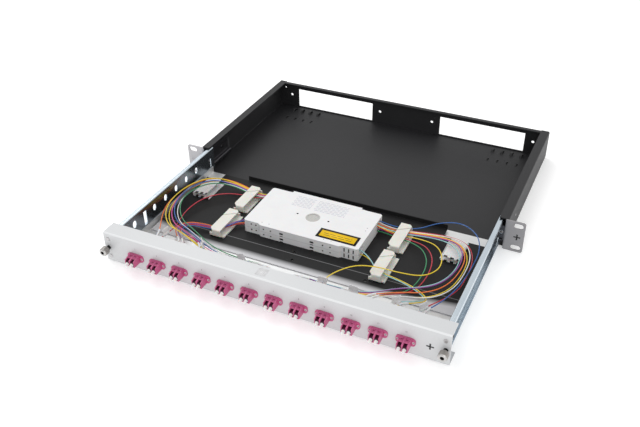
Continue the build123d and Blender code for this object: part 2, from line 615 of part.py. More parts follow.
# Mounting plate: raised black plate with a rear lip and a sloping front edge
def make_mounting_plate():
    mid = PLATE_TOP_Z - PLATE_SHEET / 2
    rear = PLATE_REAR_Y - PLATE_SHEET / 2
    foot = BASE_TOP_Z + PLATE_SHEET / 2
    points = [(rear, mid + PLATE_LIP), (rear, mid), (PLATE_FOLD_Y, mid), (PLATE_FRONT_Y, foot)]
    with BuildPart() as plate:
        with BuildSketch(side_at(-PLATE_WIDTH / 2)):
            folded(points, PLATE_SHEET, PLATE_SHEET)
        extrude(amount=PLATE_WIDTH)
        with BuildSketch(Plane.XY.offset(BASE_TOP_Z)):
            with Locations((0, (PLATE_FOLD_Y + PLATE_REAR_Y - PLATE_NOTCH_LENGTH) / 2)):
                with GridLocations(PLATE_WIDTH - PLATE_SHEET, 1, 2, 1):
                    Rectangle(PLATE_SHEET, PLATE_REAR_Y - PLATE_NOTCH_LENGTH - PLATE_FOLD_Y)
        extrude(amount=mid - BASE_TOP_Z)
        with BuildSketch(Plane.XY.offset(BASE_TOP_Z)):
            with Locations((0, PLATE_REAR_Y - PLATE_NOTCH_LENGTH / 2)):
                with GridLocations(PLATE_WIDTH - PLATE_NOTCH_WIDTH, 1, 2, 1):
                    Rectangle(PLATE_NOTCH_WIDTH, PLATE_NOTCH_LENGTH)
        extrude(amount=PLATE_LIP + PLATE_TOP_Z, mode=Mode.SUBTRACT)
        with BuildSketch(Plane.XY.offset(PLATE_TOP_Z)):
            with Locations((CASSETTE_X, CASSETTE_Y)):
                Circle(STUD_RADIUS)
            with Locations(*[(x, FACE_Y + back) for x, back in PLATE_HOLE_BACKS]):
                Circle(PLATE_HOLE_RADIUS)
        extrude(amount=BASE_TOP_Z - PLATE_TOP_Z, mode=Mode.SUBTRACT)
    return plate.part


# Splice cassette: open tray with four fibre entries and two winding drums
def make_cassette(level):
    floor_z = TRAY_Z[level]
    with BuildPart() as tray:
        with BuildSketch(Plane.XY.offset(floor_z)):
            tray_outline()
        extrude(amount=CASSETTE_HEIGHT)
        opening = tray.faces().sort_by(Axis.Z)[-1]
        offset(amount=-CASSETTE_WALL, openings=opening)
        with BuildSketch(Plane.XY.offset(floor_z + CASSETTE_WALL)):
            with Locations((CASSETTE_X, CASSETTE_Y)):
                Circle(STUD_RADIUS + 2 * CASSETTE_WALL)
                with GridLocations(CASSETTE_WIDTH / 2, 1, 2, 1):
                    Circle(DRUM_RADIUS)
                    Circle(DRUM_RADIUS - DRUM_WALL, mode=Mode.SUBTRACT)
        extrude(amount=ENTRY_HEIGHT)
        with BuildSketch(Plane.XY.offset(floor_z)):
            with Locations((CASSETTE_X, CASSETTE_Y)):
                Circle(STUD_RADIUS + STUD_FIT)
        extrude(amount=CASSETTE_HEIGHT, mode=Mode.SUBTRACT)
        with BuildSketch(side_at(CASSETTE_X - CASSETTE_WIDTH / 2 - 1)):
            entry_y = CASSETTE_DEPTH / 2 - ENTRY_INSET - ENTRY_WIDTH / 2
            with Locations((CASSETTE_Y, floor_z + CASSETTE_WALL + ENTRY_HEIGHT / 2)):
                with GridLocations(2 * entry_y, 1, 2, 1):
                    Rectangle(ENTRY_WIDTH, ENTRY_HEIGHT)
        extrude(amount=CASSETTE_WIDTH + 2, mode=Mode.SUBTRACT)
        middle_z = floor_z + CASSETTE_HEIGHT / 2
        with BuildSketch(section_at(CASSETTE_FRONT_Y)):
            with Locations((CASSETTE_X + LATCH_SHIFT, middle_z)):
                with GridLocations(2 * LATCH_X, 1, 2, 1):
                    Rectangle(LATCH_WIDTH, LATCH_HEIGHT)
                with Locations(*[(side * x, 0) for x in DIMPLE_XS for side in (-1, 1)]):
                    Circle(DIMPLE_RADIUS)
        extrude(amount=-RECESS_DEPTH, mode=Mode.SUBTRACT)
        with BuildSketch(section_at(CASSETTE_FRONT_Y + CASSETTE_STEP)):
            with Locations(*[(CASSETTE_X - x, middle_z + DOT_RISE) for x in DOT_XS]):
                Rectangle(DOT_SIZE, DOT_SIZE)
            with Locations(*[(CASSETTE_X + x, middle_z) for x in FINGER_XS]):
                Rectangle(FINGER_WIDTH, FINGER_HEIGHT)
        extrude(amount=-RECESS_DEPTH, mode=Mode.SUBTRACT)
        if level == 1:
            for start in (CASSETTE_X - HINGE_HALF, CASSETTE_X + HINGE_HALF - HINGE_LUG):
                with BuildSketch(side_at(start)):
                    with Locations((HINGE_Y, HINGE_Z)):
                        Circle(HINGE_BARREL_RADIUS)
                    with Locations(((CASSETTE_BACK_Y + HINGE_Y) / 2, HINGE_Z)):
                        Rectangle(HINGE_Y - CASSETTE_BACK_Y, 2 * HINGE_BARREL_RADIUS)
                extrude(amount=HINGE_LUG)
            with BuildSketch(side_at(CASSETTE_X - HINGE_HALF)):
                with Locations((HINGE_Y, HINGE_Z)):
                    Circle(HINGE_PIN_RADIUS + HINGE_FIT)
            extrude(amount=2 * HINGE_HALF, mode=Mode.SUBTRACT)
    return tray.part


# Central stud that holds the cassette stack on the plate, with its nut on the top tray
def make_cassette_stud():
    nut_z = COVER_Z - CASSETTE_HEIGHT + CASSETTE_WALL + ENTRY_HEIGHT
    with BuildPart() as stud:
        with BuildSketch(Plane.XY.offset(BASE_TOP_Z)):
            with Locations((CASSETTE_X, CASSETTE_Y)):
                Circle(2 * STUD_RADIUS)
        extrude(amount=PLATE_TOP_Z - PLATE_SHEET - BASE_TOP_Z)
        with BuildSketch(Plane.XY.offset(BASE_TOP_Z)):
            with Locations((CASSETTE_X, CASSETTE_Y)):
                Circle(STUD_RADIUS)
        extrude(amount=nut_z - BASE_TOP_Z)
        with BuildSketch(Plane.XY.offset(nut_z)):
            with Locations((CASSETTE_X, CASSETTE_Y)):
                RegularPolygon(STUD_NUT_RADIUS, 6)
        extrude(amount=COVER_Z - nut_z - STUD_GAP)
    return stud.part


# Splice combs: one in each tray, six slots wide
def make_splice_comb(level):
    floor_z = TRAY_Z[level] + CASSETTE_WALL
    comb_y = CASSETTE_FRONT_Y + CASSETTE_WALL + COMB_WIDTH / 2 + COMB_INSET
    with BuildPart() as comb:
        with BuildSketch(Plane.XY.offset(floor_z)):
            with Locations((CASSETTE_X, comb_y)):
                Rectangle(COMB_LENGTH, COMB_WIDTH)
        extrude(amount=COMB_BASE)
        with BuildSketch(Plane.XY.offset(floor_z + COMB_BASE)):
            with Locations((CASSETTE_X, comb_y)):
                with GridLocations(1, SLEEVE_PITCH, 1, COMB_SLOTS + 1):
                    Rectangle(COMB_LENGTH, COMB_WALL)
        extrude(amount=COMB_HEIGHT - COMB_BASE)
    return comb.part


# Cassette cover: flat lid with a central dish, hinged on the rear of the top tray
def make_cassette_cover():
    barrel = 2 * (HINGE_HALF - HINGE_LUG - HINGE_GAP)
    with BuildPart() as cover:
        with BuildSketch(Plane.XY.offset(COVER_Z)):
            tray_outline()
            with Locations((CASSETTE_X, CASSETTE_BACK_Y + HINGE_REACH / 2)):
                Rectangle(barrel, HINGE_REACH)
            with Locations((CASSETTE_X, CASSETTE_Y)):
                with GridLocations(2 * COVER_HOLE_X, 1, 2, 1):
                    Circle(COVER_HOLE_RADIUS, mode=Mode.SUBTRACT)
        extrude(amount=COVER_SHEET)
        with BuildSketch(Plane.XY.offset(COVER_Z + COVER_SHEET)):
            with Locations((CASSETTE_X, CASSETTE_Y)):
                Circle(DISH_RADIUS)
        extrude(amount=-DISH_DEPTH, mode=Mode.SUBTRACT)
        with BuildSketch(side_at(CASSETTE_X - barrel / 2)):
            with Locations((HINGE_Y, HINGE_Z)):
                Circle(HINGE_BARREL_RADIUS)
            with Locations((HINGE_Y, (COVER_Z + HINGE_Z) / 2)):
                Rectangle(2 * HINGE_PIN_RADIUS, COVER_Z - HINGE_Z)
        extrude(amount=barrel)
        with BuildSketch(side_at(CASSETTE_X - HINGE_HALF + HINGE_GAP)):
            with Locations((HINGE_Y, HINGE_Z)):
                Circle(HINGE_PIN_RADIUS)
        extrude(amount=2 * (HINGE_HALF - HINGE_GAP))
    return cover.part


# Fibre guide: a flat-bottomed loop with a slit along its top, on a wider foot
def make_fibre_guide(x, y):
    with BuildPart() as guide:
        with BuildSketch(side_at(x - FIBRE_GUIDE_WIDTH / 2)):
            with Locations((y, PLATE_TOP_Z + FIBRE_GUIDE_HEIGHT / 2)):
                RectangleRounded(FIBRE_GUIDE_LENGTH, FIBRE_GUIDE_HEIGHT, FIBRE_GUIDE_WALL)
                Rectangle(FIBRE_GUIDE_LENGTH - 2 * FIBRE_GUIDE_WALL,
                          FIBRE_GUIDE_HEIGHT - 2 * FIBRE_GUIDE_WALL, mode=Mode.SUBTRACT)
        extrude(amount=FIBRE_GUIDE_WIDTH)
        with BuildSketch(Plane.XY.offset(PLATE_TOP_Z)):
            with Locations((x + (FIBRE_GUIDE_BASE - FIBRE_GUIDE_WIDTH) / 2, y)):
                Rectangle(FIBRE_GUIDE_BASE, FIBRE_GUIDE_LENGTH - 2 * FIBRE_GUIDE_WALL)
        extrude(amount=FIBRE_GUIDE_WALL)
        with BuildSketch(Plane.XY.offset(PLATE_TOP_Z + FIBRE_GUIDE_HEIGHT)):
            with Locations((x, y + FIBRE_GUIDE_LENGTH / 4)):
                Rectangle(2 * FIBRE_GUIDE_WIDTH, FIBRE_GUIDE_SLIT, rotation=FIBRE_GUIDE_SLIT_TURN)
        extrude(amount=-FIBRE_GUIDE_WALL, mode=Mode.SUBTRACT)
        with BuildSketch(Plane.XY.offset(PLATE_TOP_Z + FIBRE_GUIDE_HEIGHT)):
            reach = (FIBRE_GUIDE_WIDTH / 2, FIBRE_GUIDE_LENGTH / 2)
            with Locations((x - reach[0], y - reach[1]), (x + reach[0], y + reach[1])):
                Rectangle(FIBRE_GUIDE_CORNER, FIBRE_GUIDE_CORNER, rotation=45)
        extrude(amount=-FIBRE_GUIDE_HEIGHT / 2, mode=Mode.SUBTRACT)
    return guide.part


# Cable clamp: springy strip folded over from its foot, open towards the middle
def make_cable_clamp(x, y):
    side = -1 if x < 0 else 1
    outer = x + side * CLAMP_WIDTH / 2
    inner = x - side * CLAMP_WIDTH / 2
    low = PLATE_TOP_Z + CLAMP_SHEET / 2
    high = PLATE_TOP_Z + CLAMP_HEIGHT - CLAMP_SHEET / 2
    points = [(inner, low), (outer, low), (outer, high - CLAMP_FALL), (inner + side * CLAMP_MOUTH, high)]
    with BuildPart() as clamp:
        with BuildSketch(section_at(y + CLAMP_LENGTH / 2)):
            folded(points, CLAMP_BEND, CLAMP_SHEET)
        extrude(amount=CLAMP_LENGTH)
    return clamp.part


# Duplex adapter: flanged body with two ports front and rear and open latch slots above them
def make_adapter(x):
    ports = [(x + side * PORT_PITCH / 2, PORT_Z) for side in (-1, 1)]
    slot_height = ADAPTER_TOP_Z - PORT_Z
    with BuildPart() as adapter:
        with BuildSketch(section_at(FACE_Y)):
            with Locations((x, ADAPTER_Z)):
                Rectangle(ADAPTER_WIDTH, ADAPTER_HEIGHT)
        extrude(amount=ADAPTER_FRONT)
        with BuildSketch(section_at(ADAPTER_REAR_Y)):
            with Locations((x, ADAPTER_Z)):
                Rectangle(ADAPTER_WIDTH, ADAPTER_HEIGHT)
        extrude(amount=ADAPTER_REAR)
        with BuildSketch(section_at(FACE_Y)):
            with Locations((x, ADAPTER_Z)):
                RectangleRounded(ADAPTER_FLANGE_WIDTH, ADAPTER_HEIGHT, ADAPTER_FLANGE_ROUND)
                with GridLocations(2 * ADAPTER_HOLE_X, 1, 2, 1):
                    Circle(ADAPTER_HOLE_RADIUS, mode=Mode.SUBTRACT)
        extrude(amount=ADAPTER_FLANGE_SHEET)
        for end in (section_at(FACE_Y - ADAPTER_FRONT + PORT_DEPTH), section_at(ADAPTER_REAR_Y)):
            with BuildSketch(end):
                with Locations(*ports):
                    Rectangle(PORT_WIDTH, PORT_HEIGHT)
            extrude(amount=PORT_DEPTH, mode=Mode.SUBTRACT)
        for end in (section_at(FACE_Y - ADAPTER_FRONT + LATCH_SLOT_LENGTH), section_at(ADAPTER_REAR_Y)):
            with BuildSketch(end):
                with Locations(*[(px, PORT_Z + slot_height / 2) for px, _ in ports]):
                    Rectangle(LATCH_SLOT_WIDTH, slot_height)
            extrude(amount=LATCH_SLOT_LENGTH, mode=Mode.SUBTRACT)
        ridge_y = FACE_Y - ADAPTER_FLANGE_SHEET - ADAPTER_RIDGE_LENGTH / 2
        with BuildSketch(Plane.XY.offset(ADAPTER_TOP_Z)):
            with Locations((x, ridge_y)):
                Rectangle(ADAPTER_WIDTH, ADAPTER_RIDGE_LENGTH)
        extrude(amount=ADAPTER_RIDGE)
        window_y = FACE_Y - ADAPTER_FRONT + LATCH_SLOT_LENGTH + LATCH_WINDOW_GAP + LATCH_WINDOW_LENGTH / 2
        with BuildSketch(Plane.XY.offset(ADAPTER_TOP_Z)):
            with Locations(*[(px, window_y) for px, _ in ports]):
                Rectangle(LATCH_WINDOW_WIDTH, LATCH_WINDOW_LENGTH)
        extrude(amount=PORT_Z - ADAPTER_TOP_Z, mode=Mode.SUBTRACT)
        prong_y = FACE_Y - ADAPTER_FRONT
        with BuildSketch(side_at(x - ADAPTER_WIDTH / 2)):
            with BuildLine():
                Polyline((prong_y, ADAPTER_TOP_Z), (prong_y + LATCH_SLOT_LENGTH, ADAPTER_TOP_Z),
                         (prong_y, ADAPTER_TOP_Z - PRONG_FALL), close=True)
            make_face()
        extrude(amount=ADAPTER_WIDTH, mode=Mode.SUBTRACT)
        with BuildSketch(section_at(ADAPTER_REAR_Y)):
            with Locations(*ports):
                Circle(SLEEVE_RADIUS)
        extrude(amount=ADAPTER_FRONT + ADAPTER_REAR, mode=Mode.SUBTRACT)
    return adapter.part


# White dust cap: a stem in the port and a tapered grip in front of it
def make_dust_cap(x):
    front = FACE_Y - ADAPTER_FRONT
    with BuildPart() as cap:
        with BuildSketch(axis_at(x, front, PORT_Z)):
            Circle(CAP_RADIUS)
        with BuildSketch(axis_at(x, front - CAP_LENGTH, PORT_Z)):
            Circle(CAP_TIP_RADIUS)
        loft()
        with BuildSketch(axis_at(x, front + STEM_LENGTH, PORT_Z)):
            Rectangle(PORT_WIDTH - 2 * STEM_FIT, PORT_HEIGHT - 2 * STEM_FIT)
        extrude(amount=STEM_LENGTH)
    return cap.part


# Pigtail plug: square body in the rear port, latch arm on top and a tapered boot
def make_plug(x):
    body = PORT_WIDTH - 2 * STEM_FIT
    body_end = ADAPTER_REAR_Y + PLUG_BODY
    collar_y = ADAPTER_REAR_Y + PLUG_COLLAR
    latch_z = PORT_Z + body / 2
    with BuildPart() as plug:
        with BuildSketch(axis_at(x, body_end, PORT_Z)):
            Rectangle(body, body)
        extrude(amount=PLUG_BODY + STEM_LENGTH)
        with BuildSketch(axis_at(x, collar_y, PORT_Z)):
            Rectangle(PLUG_COLLAR_WIDTH, PLUG_COLLAR_WIDTH)
        extrude(amount=PLUG_COLLAR)
        with BuildSketch(side_at(x - LATCH_ARM_WIDTH / 2)):
            with BuildLine():
                Polyline((collar_y, latch_z), (body_end, latch_z + LATCH_ARM_RISE),
                         (body_end, latch_z + LATCH_ARM_RISE - LATCH_ARM_SHEET),
                         (collar_y + PLUG_COLLAR, latch_z), close=True)
            make_face()
        extrude(amount=LATCH_ARM_WIDTH)
        with BuildSketch(axis_at(x, body_end, PORT_Z)):
            Circle(BOOT_RADIUS)
        with BuildSketch(axis_at(x, body_end + BOOT_LENGTH, PORT_Z)):
            Circle(BOOT_END_RADIUS)
        loft()
    return plug.part


# Captive thumbscrew: knurled head, neck and a long shank that reaches the receiver nut
def make_thumbscrew(x):
    head_back = FACE_Y - SCREW_HEAD_GAP
    head_front = head_back - SCREW_HEAD_LENGTH
    tip = head_back + SCREW_LENGTH
    rim = SCREW_HEAD_RADIUS - SCREW_HEAD_CHAMFER
    shoulder = FACE_BACK_Y - SCREW_SHOULDER / 2
    profile = [
        (0, head_front + SCREW_RECESS_DEPTH),
        (SCREW_RECESS_RADIUS, head_front + SCREW_RECESS_DEPTH),
        (SCREW_RECESS_RADIUS, head_front),
        (rim, head_front),
        (SCREW_HEAD_RADIUS, head_front + SCREW_HEAD_CHAMFER),
        (SCREW_HEAD_RADIUS, head_back - SCREW_HEAD_CHAMFER),
        (rim, head_back),
        (SCREW_NECK_RADIUS, head_back),
        (SCREW_NECK_RADIUS, shoulder),
        (SCREW_SHANK_RADIUS, shoulder + SCREW_SHOULDER),
        (SCREW_SHANK_RADIUS, tip - SCREW_TIP_CHAMFER),
        (SCREW_SHANK_RADIUS - SCREW_TIP_CHAMFER, tip),
        (0, tip),
    ]
    with BuildPart() as screw:
        with BuildSketch(Plane.XY.offset(SCREW_Z)):
            with BuildLine():
                Polyline(*[(x + radius, y) for radius, y in profile], close=True)
            make_face()
        revolve(axis=Axis((x, 0, SCREW_Z), (0, 1, 0)))
    return screw.part


# Retaining washer that moves in and out with its thumbscrew
def make_retainer(x):
    front = TAB_BACK_Y + RETAINER_GAP
    with BuildPart() as washer:
        with BuildSketch(axis_at(x, front + RETAINER_THICKNESS, SCREW_Z)):
            Circle(RETAINER_RADIUS)
            Circle(SCREW_SHANK_RADIUS + RETAINER_FIT, mode=Mode.SUBTRACT)
        extrude(amount=RETAINER_THICKNESS)
    return washer.part


# Small round-headed screws that hold the rails' tabs to the panel
def make_panel_screw(x, z):
    with BuildPart() as screw:
        with BuildSketch(axis_at(x, TAB_BACK_Y + PANEL_SCREW_END, z)):
            Circle(PANEL_SCREW_RADIUS - PANEL_SCREW_FIT)
        extrude(amount=TAB_BACK_Y + PANEL_SCREW_END - FACE_Y)
        with BuildSketch(axis_at(x, FACE_Y, z)):
            Circle(PANEL_SCREW_HEAD_RADIUS)
        extrude(amount=PANEL_SCREW_HEAD)
        fillet(screw.edges().group_by(Axis.Y)[0], PANEL_SCREW_ROUND)
    return screw.part


def corner_radius(before, corner, after):
    """Radius of the arc at one point of a pigtail's route."""
    run_in = corner - before
    run_out = after - corner
    half_turn = radians(run_in.get_angle(run_out)) / 2
    return 0.45 * min(run_in.length, run_out.length) / tan(half_turn)


def make_fibre(points):
    """Fibre along straight runs joined by tangent arcs."""
    route = [Vector(*point) for point in points]
    radii = [corner_radius(*route[i:i + 3]) for i in range(len(route) - 2)]
    with BuildPart() as fibre:
        with BuildLine() as path:
            FilletPolyline(*route, radius=radii)
        with BuildSketch(Plane(origin=path.line @ 0, z_dir=path.line % 0)):
            RegularPolygon(FIBRE_RADIUS, 6)
        sweep()
    length = sum(edge.length for edge in path.edges())
    print(f"fibre length {length:.0f} mm, smallest radius {min(radii):.1f} mm")
    return fibre.part


# Stations of the fibres: inward of the rail's web, behind the panel's face, height, share of lane spread
OUTER_LOOPS = {
    -1: (
        (144.5, 54.5, 14.0, 0.6), (102.5, 58.0, 19.0, 0.9), (64.5, 64.0, 22.0, 1.0), (38.5, 72.5, 21.5, 1.4),
        (19.5, 95.5, 23.5, 1.2), (12.5, 123.5, 25.0, 0.8), (16.5, 154.5, 25.0, 0.8), (31.5, 180.5, 23.5, 0.9),
        (56.5, 192.5, 18.0, 0.7),
    ),
    1: (
        (144.5, 54.5, 14.0, 0.6), (105.5, 56.0, 19.5, 0.6), (68.5, 63.0, 21.5, 1.4), (40.5, 73.0, 21.0, 2.1),
        (22.0, 94.0, 21.5, 1.7), (16.0, 125.0, 21.0, 1.1), (17.0, 156.5, 21.5, 1.0), (30.5, 180.5, 20.5, 1.1),
        (56.5, 191.5, 17.0, 0.8),
    ),
}
INNER_LOOPS = {
    -1: (
        (72.5, 63.5, 15.5, 1.0), (50.5, 66.5, 15.0, 1.0), (41.5, 79.0, 14.5, 1.0), (49.5, 92.5, 13.5, 1.0),
        (68.5, 97.5, 12.0, 0.8),
    ),
    1: (
        (75.5, 61.5, 15.5, 1.0), (52.5, 62.5, 15.0, 1.0), (37.5, 73.0, 14.5, 1.0), (52.5, 86.0, 13.5, 1.0),
        (80.5, 97.0, 12.0, 0.8),
    ),
}
OUTER_CENTRES = {-1: (84.5, 125.5), 1: (94.5, 121.5)}
INNER_CENTRES = {-1: (68.5, 80.5), 1: (68.5, 75.5)}
OUTER_PORTS = {-1: (0, 6, 7, 8, 9, 10, 11), 1: (22, 17, 16, 14, 13, 12)}
INNER_PORTS = {-1: (2, 3, 4, 5), 1: (21, 20)}
REAR_CLIP_BACKS = {-1: 191.0, 1: 189.0}
FRONT_CLIP_BACKS = {-1: 99.0, 1: 101.0}

# Fibres with a route of their own: port, side, clip behind the face, place in the entry, stations
SINGLE_ROUTES = (
    (1, -1, 181.0, -6.0, (
        (38.5, 73.5, 15.0), (30.5, 95.5, 11.0), (28.5, 119.5, 14.0), (35.5, 147.5, 16.0), (54.5, 170.5, 15.0),
        (80.5, 180.5, 12.3),
    )),
    (15, 1, 181.0, -5.2, (
        (150.5, 69.0, 21.0), (133.5, 90.0, 22.0), (110.5, 99.5, 20.5), (84.5, 99.5, 20.5),
        (54.5, 103.0, 21.0), (40.5, 122.5, 21.5), (44.5, 148.5, 20.5), (58.5, 170.5, 18.5),
        (82.5, 181.0, 13.5),
    )),
    (18, 1, 173.5, -5.7, (
        (82.5, 65.5, 15.5), (66.5, 80.0, 10.5), (58.5, 103.5, 12.0), (57.5, 131.5, 18.0), (70.5, 156.5, 16.5),
        (88.5, 170.5, 12.5),
    )),
    (19, 1, 177.0, -6.4, (
        (75.5, 68.0, 15.0), (58.5, 86.0, 10.0), (51.5, 112.5, 13.5), (53.5, 141.5, 18.0), (68.5, 164.5, 16.5),
        (87.5, 174.5, 12.5),
    )),
    (23, 1, 197.0, 6.0, (
        (19.5, 71.5, 22.0), (9.5, 101.5, 25.0), (6.5, 138.5, 24.5), (6.5, 173.5, 25.0), (17.5, 202.5, 26.0),
        (42.5, 218.5, 26.0), (70.5, 213.5, 21.0), (90.5, 201.0, 14.0),
    )),
)
STRIP_BACK = 91.5
STRIP_INWARD = 86.5
LEAST_REACH = 9.0
LANE_PITCH = 3.0
LANE_LIFTS = (0.0, 2.6, -1.4, 1.2, 3.4, -0.4, 2.0)
LIFT_LEAST_Z = 18.0
BOOT_RUN = 9.0
CLIP_PITCH = 1.5
CLIP_Z = 11.5
ENTRY_PITCH = 1.5
ENTRY_RUN_IN = 9.0
ENTRY_DEPTH = 3.0


def station(side, inward, back, z=0):
    """Point of a route, from its distances to the rail's web and to the panel's face."""
    return (side * (RAIL_WEB_X - inward), FACE_Y + back, z)


def first_points(port_x):
    """First two points of a fibre: at the end of its boot and straight behind it."""
    return [(port_x, BOOT_END_Y, PORT_Z), (port_x, BOOT_END_Y + BOOT_RUN, PORT_Z)]


def last_points(side, clip_y, entry_y, level):
    """Last three points of a fibre: in its guide, before its cassette entry and just inside it."""
    wall_x = CASSETTE_X + side * CASSETTE_WIDTH / 2
    entry_z = TRAY_Z[level] + CASSETTE_WALL + ENTRY_HEIGHT / 2
    return [(CLIP_XS[side], clip_y, CLIP_Z),
            (wall_x + side * ENTRY_RUN_IN, entry_y, (entry_z + CLIP_Z) / 2),
            (wall_x - side * ENTRY_DEPTH, entry_y, entry_z)]


def lane_points(port_x, side, stations, centre, lane, lanes):
    """Points of one fibre along its lane of a loop."""
    spread = ((lanes - 1) / 2 - lane) * LANE_PITCH
    middle = Vector(*station(side, *centre))
    points = []
    for inward, back, z, share in stations:
        x, y, z = station(side, inward, back, z)
        if back < STRIP_BACK and side * (x - port_x) < LEAST_REACH:
            continue
        outward = Vector(0, -1) if inward > STRIP_INWARD else (Vector(x, y) - middle).normalized()
        shift = outward * spread * share
        lift = LANE_LIFTS[lane] if z > LIFT_LEAST_Z else 0
        points.append((x + shift.X, y + shift.Y, z + lift))
    return points


def fibre_routes():
    """Routes of all fibres, in the order of the ports from left to right."""
    reach = CASSETTE_DEPTH / 2 - ENTRY_INSET - ENTRY_WIDTH / 2
    families = (
        (OUTER_PORTS, OUTER_LOOPS, OUTER_CENTRES, REAR_CLIP_BACKS, CASSETTE_Y + reach),
        (INNER_PORTS, INNER_LOOPS, INNER_CENTRES, FRONT_CLIP_BACKS, CASSETTE_Y - reach),
    )
    routes = {}
    for ports, loops, centres, clips, entry_y in families:
        for side in (-1, 1):
            lanes = len(ports[side])
            for lane, port in enumerate(ports[side]):
                offset = (lanes - 1) / 2 - lane
                middle = lane_points(PORT_XS[port], side, loops[side], centres[side], lane, lanes)
                clip_y = FACE_Y + clips[side] + offset * CLIP_PITCH
                end = last_points(side, clip_y, entry_y + offset * ENTRY_PITCH, lane % 2)
                routes[port] = first_points(PORT_XS[port]) + middle + end
    for port, side, clip_back, slot, stations in SINGLE_ROUTES:
        middle = [station(side, *place) for place in stations]
        end = last_points(side, FACE_Y + clip_back, CASSETTE_Y + reach + slot, port % 2)
        routes[port] = first_points(PORT_XS[port]) + middle + end
    return [routes[port] for port in sorted(routes)]


def main():
    """Build every piece and write it."""
    save("housing", make_housing())
    ear = make_ear()
    save("ear_right", ear)
    save("ear_left", mirror(ear, about=Plane.YZ))
    guide = make_guide()
    save("slide_guide_right", guide)
    save("slide_guide_left", mirror(guide, about=Plane.YZ))
    save("receiver_nuts", *[make_receiver_nut(side * SCREW_X) for side in (-1, 1)])
    rivets = [make_ear_rivet(side, y) for side in (-1, 1) for y in EAR_RIVET_YS]
    save("ear_rivets", *rivets)
    save("front_panel", make_front_panel())
    rail = make_rail()
    save("slide_rail_right", rail)
    save("slide_rail_left", mirror(rail, about=Plane.YZ))
    save("drawer_base", make_drawer_base())
    save("mounting_plate", make_mounting_plate())
    for level, name in enumerate(("lower", "upper")):
        save(f"cassette_{name}", make_cassette(level))
        save(f"splice_comb_{name}", make_splice_comb(level))
    save("cassette_stud", make_cassette_stud())
    save("cassette_cover", make_cassette_cover())
    for name, place in FIBRE_GUIDES.items():
        save(name, make_fibre_guide(*place))
    for name, place in CLAMPS.items():
        save(name, make_cable_clamp(*place))
    for number, x in enumerate(ADAPTER_XS, start=1):
        save(f"adapter_{number:02d}", make_adapter(x))
    save("dust_caps", *[make_dust_cap(x) for x in PORT_XS])
    save("pigtail_plugs", *[make_plug(x) for x in PORT_XS])
    for side, name in ((-1, "left"), (1, "right")):
        save(f"thumbscrew_{name}", make_thumbscrew(side * SCREW_X))
        save(f"thumbscrew_retainer_{name}", make_retainer(side * SCREW_X))
    places = [(side * PANEL_SCREW_X, z) for side in (-1, 1) for z in PANEL_SCREW_ZS]
    save("panel_screws", *[make_panel_screw(x, z) for x, z in places])
    routes = fibre_routes()
    for number in range(ADAPTER_COUNT):
        pair = [make_fibre(route) for route in routes[2 * number:2 * number + 2]]
        save(f"pigtail_pair_{number + 1:02d}", *pair)


main()
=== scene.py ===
from math import cos, pi, radians, sin

import bmesh
import bpy
from bpy.props import FloatProperty, FloatVectorProperty, IntProperty, PointerProperty
from bpy.types import Operator, Panel, PropertyGroup
from mathutils import Matrix, Vector


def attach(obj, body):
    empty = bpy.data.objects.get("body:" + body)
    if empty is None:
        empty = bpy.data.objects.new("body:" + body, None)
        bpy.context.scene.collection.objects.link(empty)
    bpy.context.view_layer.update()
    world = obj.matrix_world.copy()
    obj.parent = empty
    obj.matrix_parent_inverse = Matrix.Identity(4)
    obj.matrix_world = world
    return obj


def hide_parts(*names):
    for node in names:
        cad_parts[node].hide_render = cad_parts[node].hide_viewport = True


bl_info = {
    "name": "Sliding fibre splice panel",
    "version": (1, 1, 0),
    "blender": (4, 5, 0),
    "location": "View3D > Sidebar > Splice panel",
    "description": "Builds the finishes, fibres, labels and stage of a sliding fibre splice panel",
    "category": "Object",
}

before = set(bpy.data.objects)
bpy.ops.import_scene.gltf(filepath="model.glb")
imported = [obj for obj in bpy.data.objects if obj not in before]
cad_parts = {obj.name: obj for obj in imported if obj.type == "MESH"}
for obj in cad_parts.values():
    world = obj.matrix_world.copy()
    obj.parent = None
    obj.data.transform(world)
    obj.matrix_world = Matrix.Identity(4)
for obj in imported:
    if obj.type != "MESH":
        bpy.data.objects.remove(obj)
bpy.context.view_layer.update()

# Heights in this file count from the underside of the housing; the frame's origin lies here
ORIGIN_Z = 0.0218

# In metres: how near to a face a mask counts as on it, how far print lies off it, rounding of small blocks
SKIN = 0.0002
FILM = 0.00003
EDGE_BEVEL = 0.0002

# Front panel and rack ears, in metres; behind EAR_LEAF_Y an ear's leaf inside the housing is painted dark as
# shade
PANEL_FACE_Y = -0.2215
PANEL_TOP_Z = 0.0432
PANEL_BEND = 0.0016
PANEL_CROSS_X = 0.1956
PANEL_CROSS_Z = 0.0200
EAR_CROSS_X = 0.23255
EAR_CROSS_DEPTH = 0.0009
EAR_LEAF_Y = 0.003
CROSS_HALF = 0.0042
CROSS_ARM_HALF = 0.0009

# Captive screws and their knurled rings, in metres; a valley keeps a tenth of the ridge's height
SCREW_X = 0.2123
SCREW_FACE_Y = -0.2345
SCREW_HEAD_REAR_Y = -0.2261
SCREW_RECESS_RADIUS = 0.0023
SCREW_RECESS_DEPTH = 0.0017
KNURL_RADIUS = 0.00502
KNURL_FRONT_Y = -0.2335
KNURL_REAR_Y = -0.2266
KNURL_CHAMFER = 0.0004
KNURL_RIDGE = 0.0003
KNURL_VALLEY = 0.1

# Mounting plate, in metres, with a painted highlight along its fold and the painted gleam on its sloping
# front, which grows deeper towards the sides
PLATE_FOLD_Y = -0.1240
PLATE_FOLD_HALF = 0.0005
GLEAM_Y = -0.1385
GLEAM_DEPTH = 0.0085
GLEAM_SIDE = 0.13
GLEAM_FLARE = 0.15
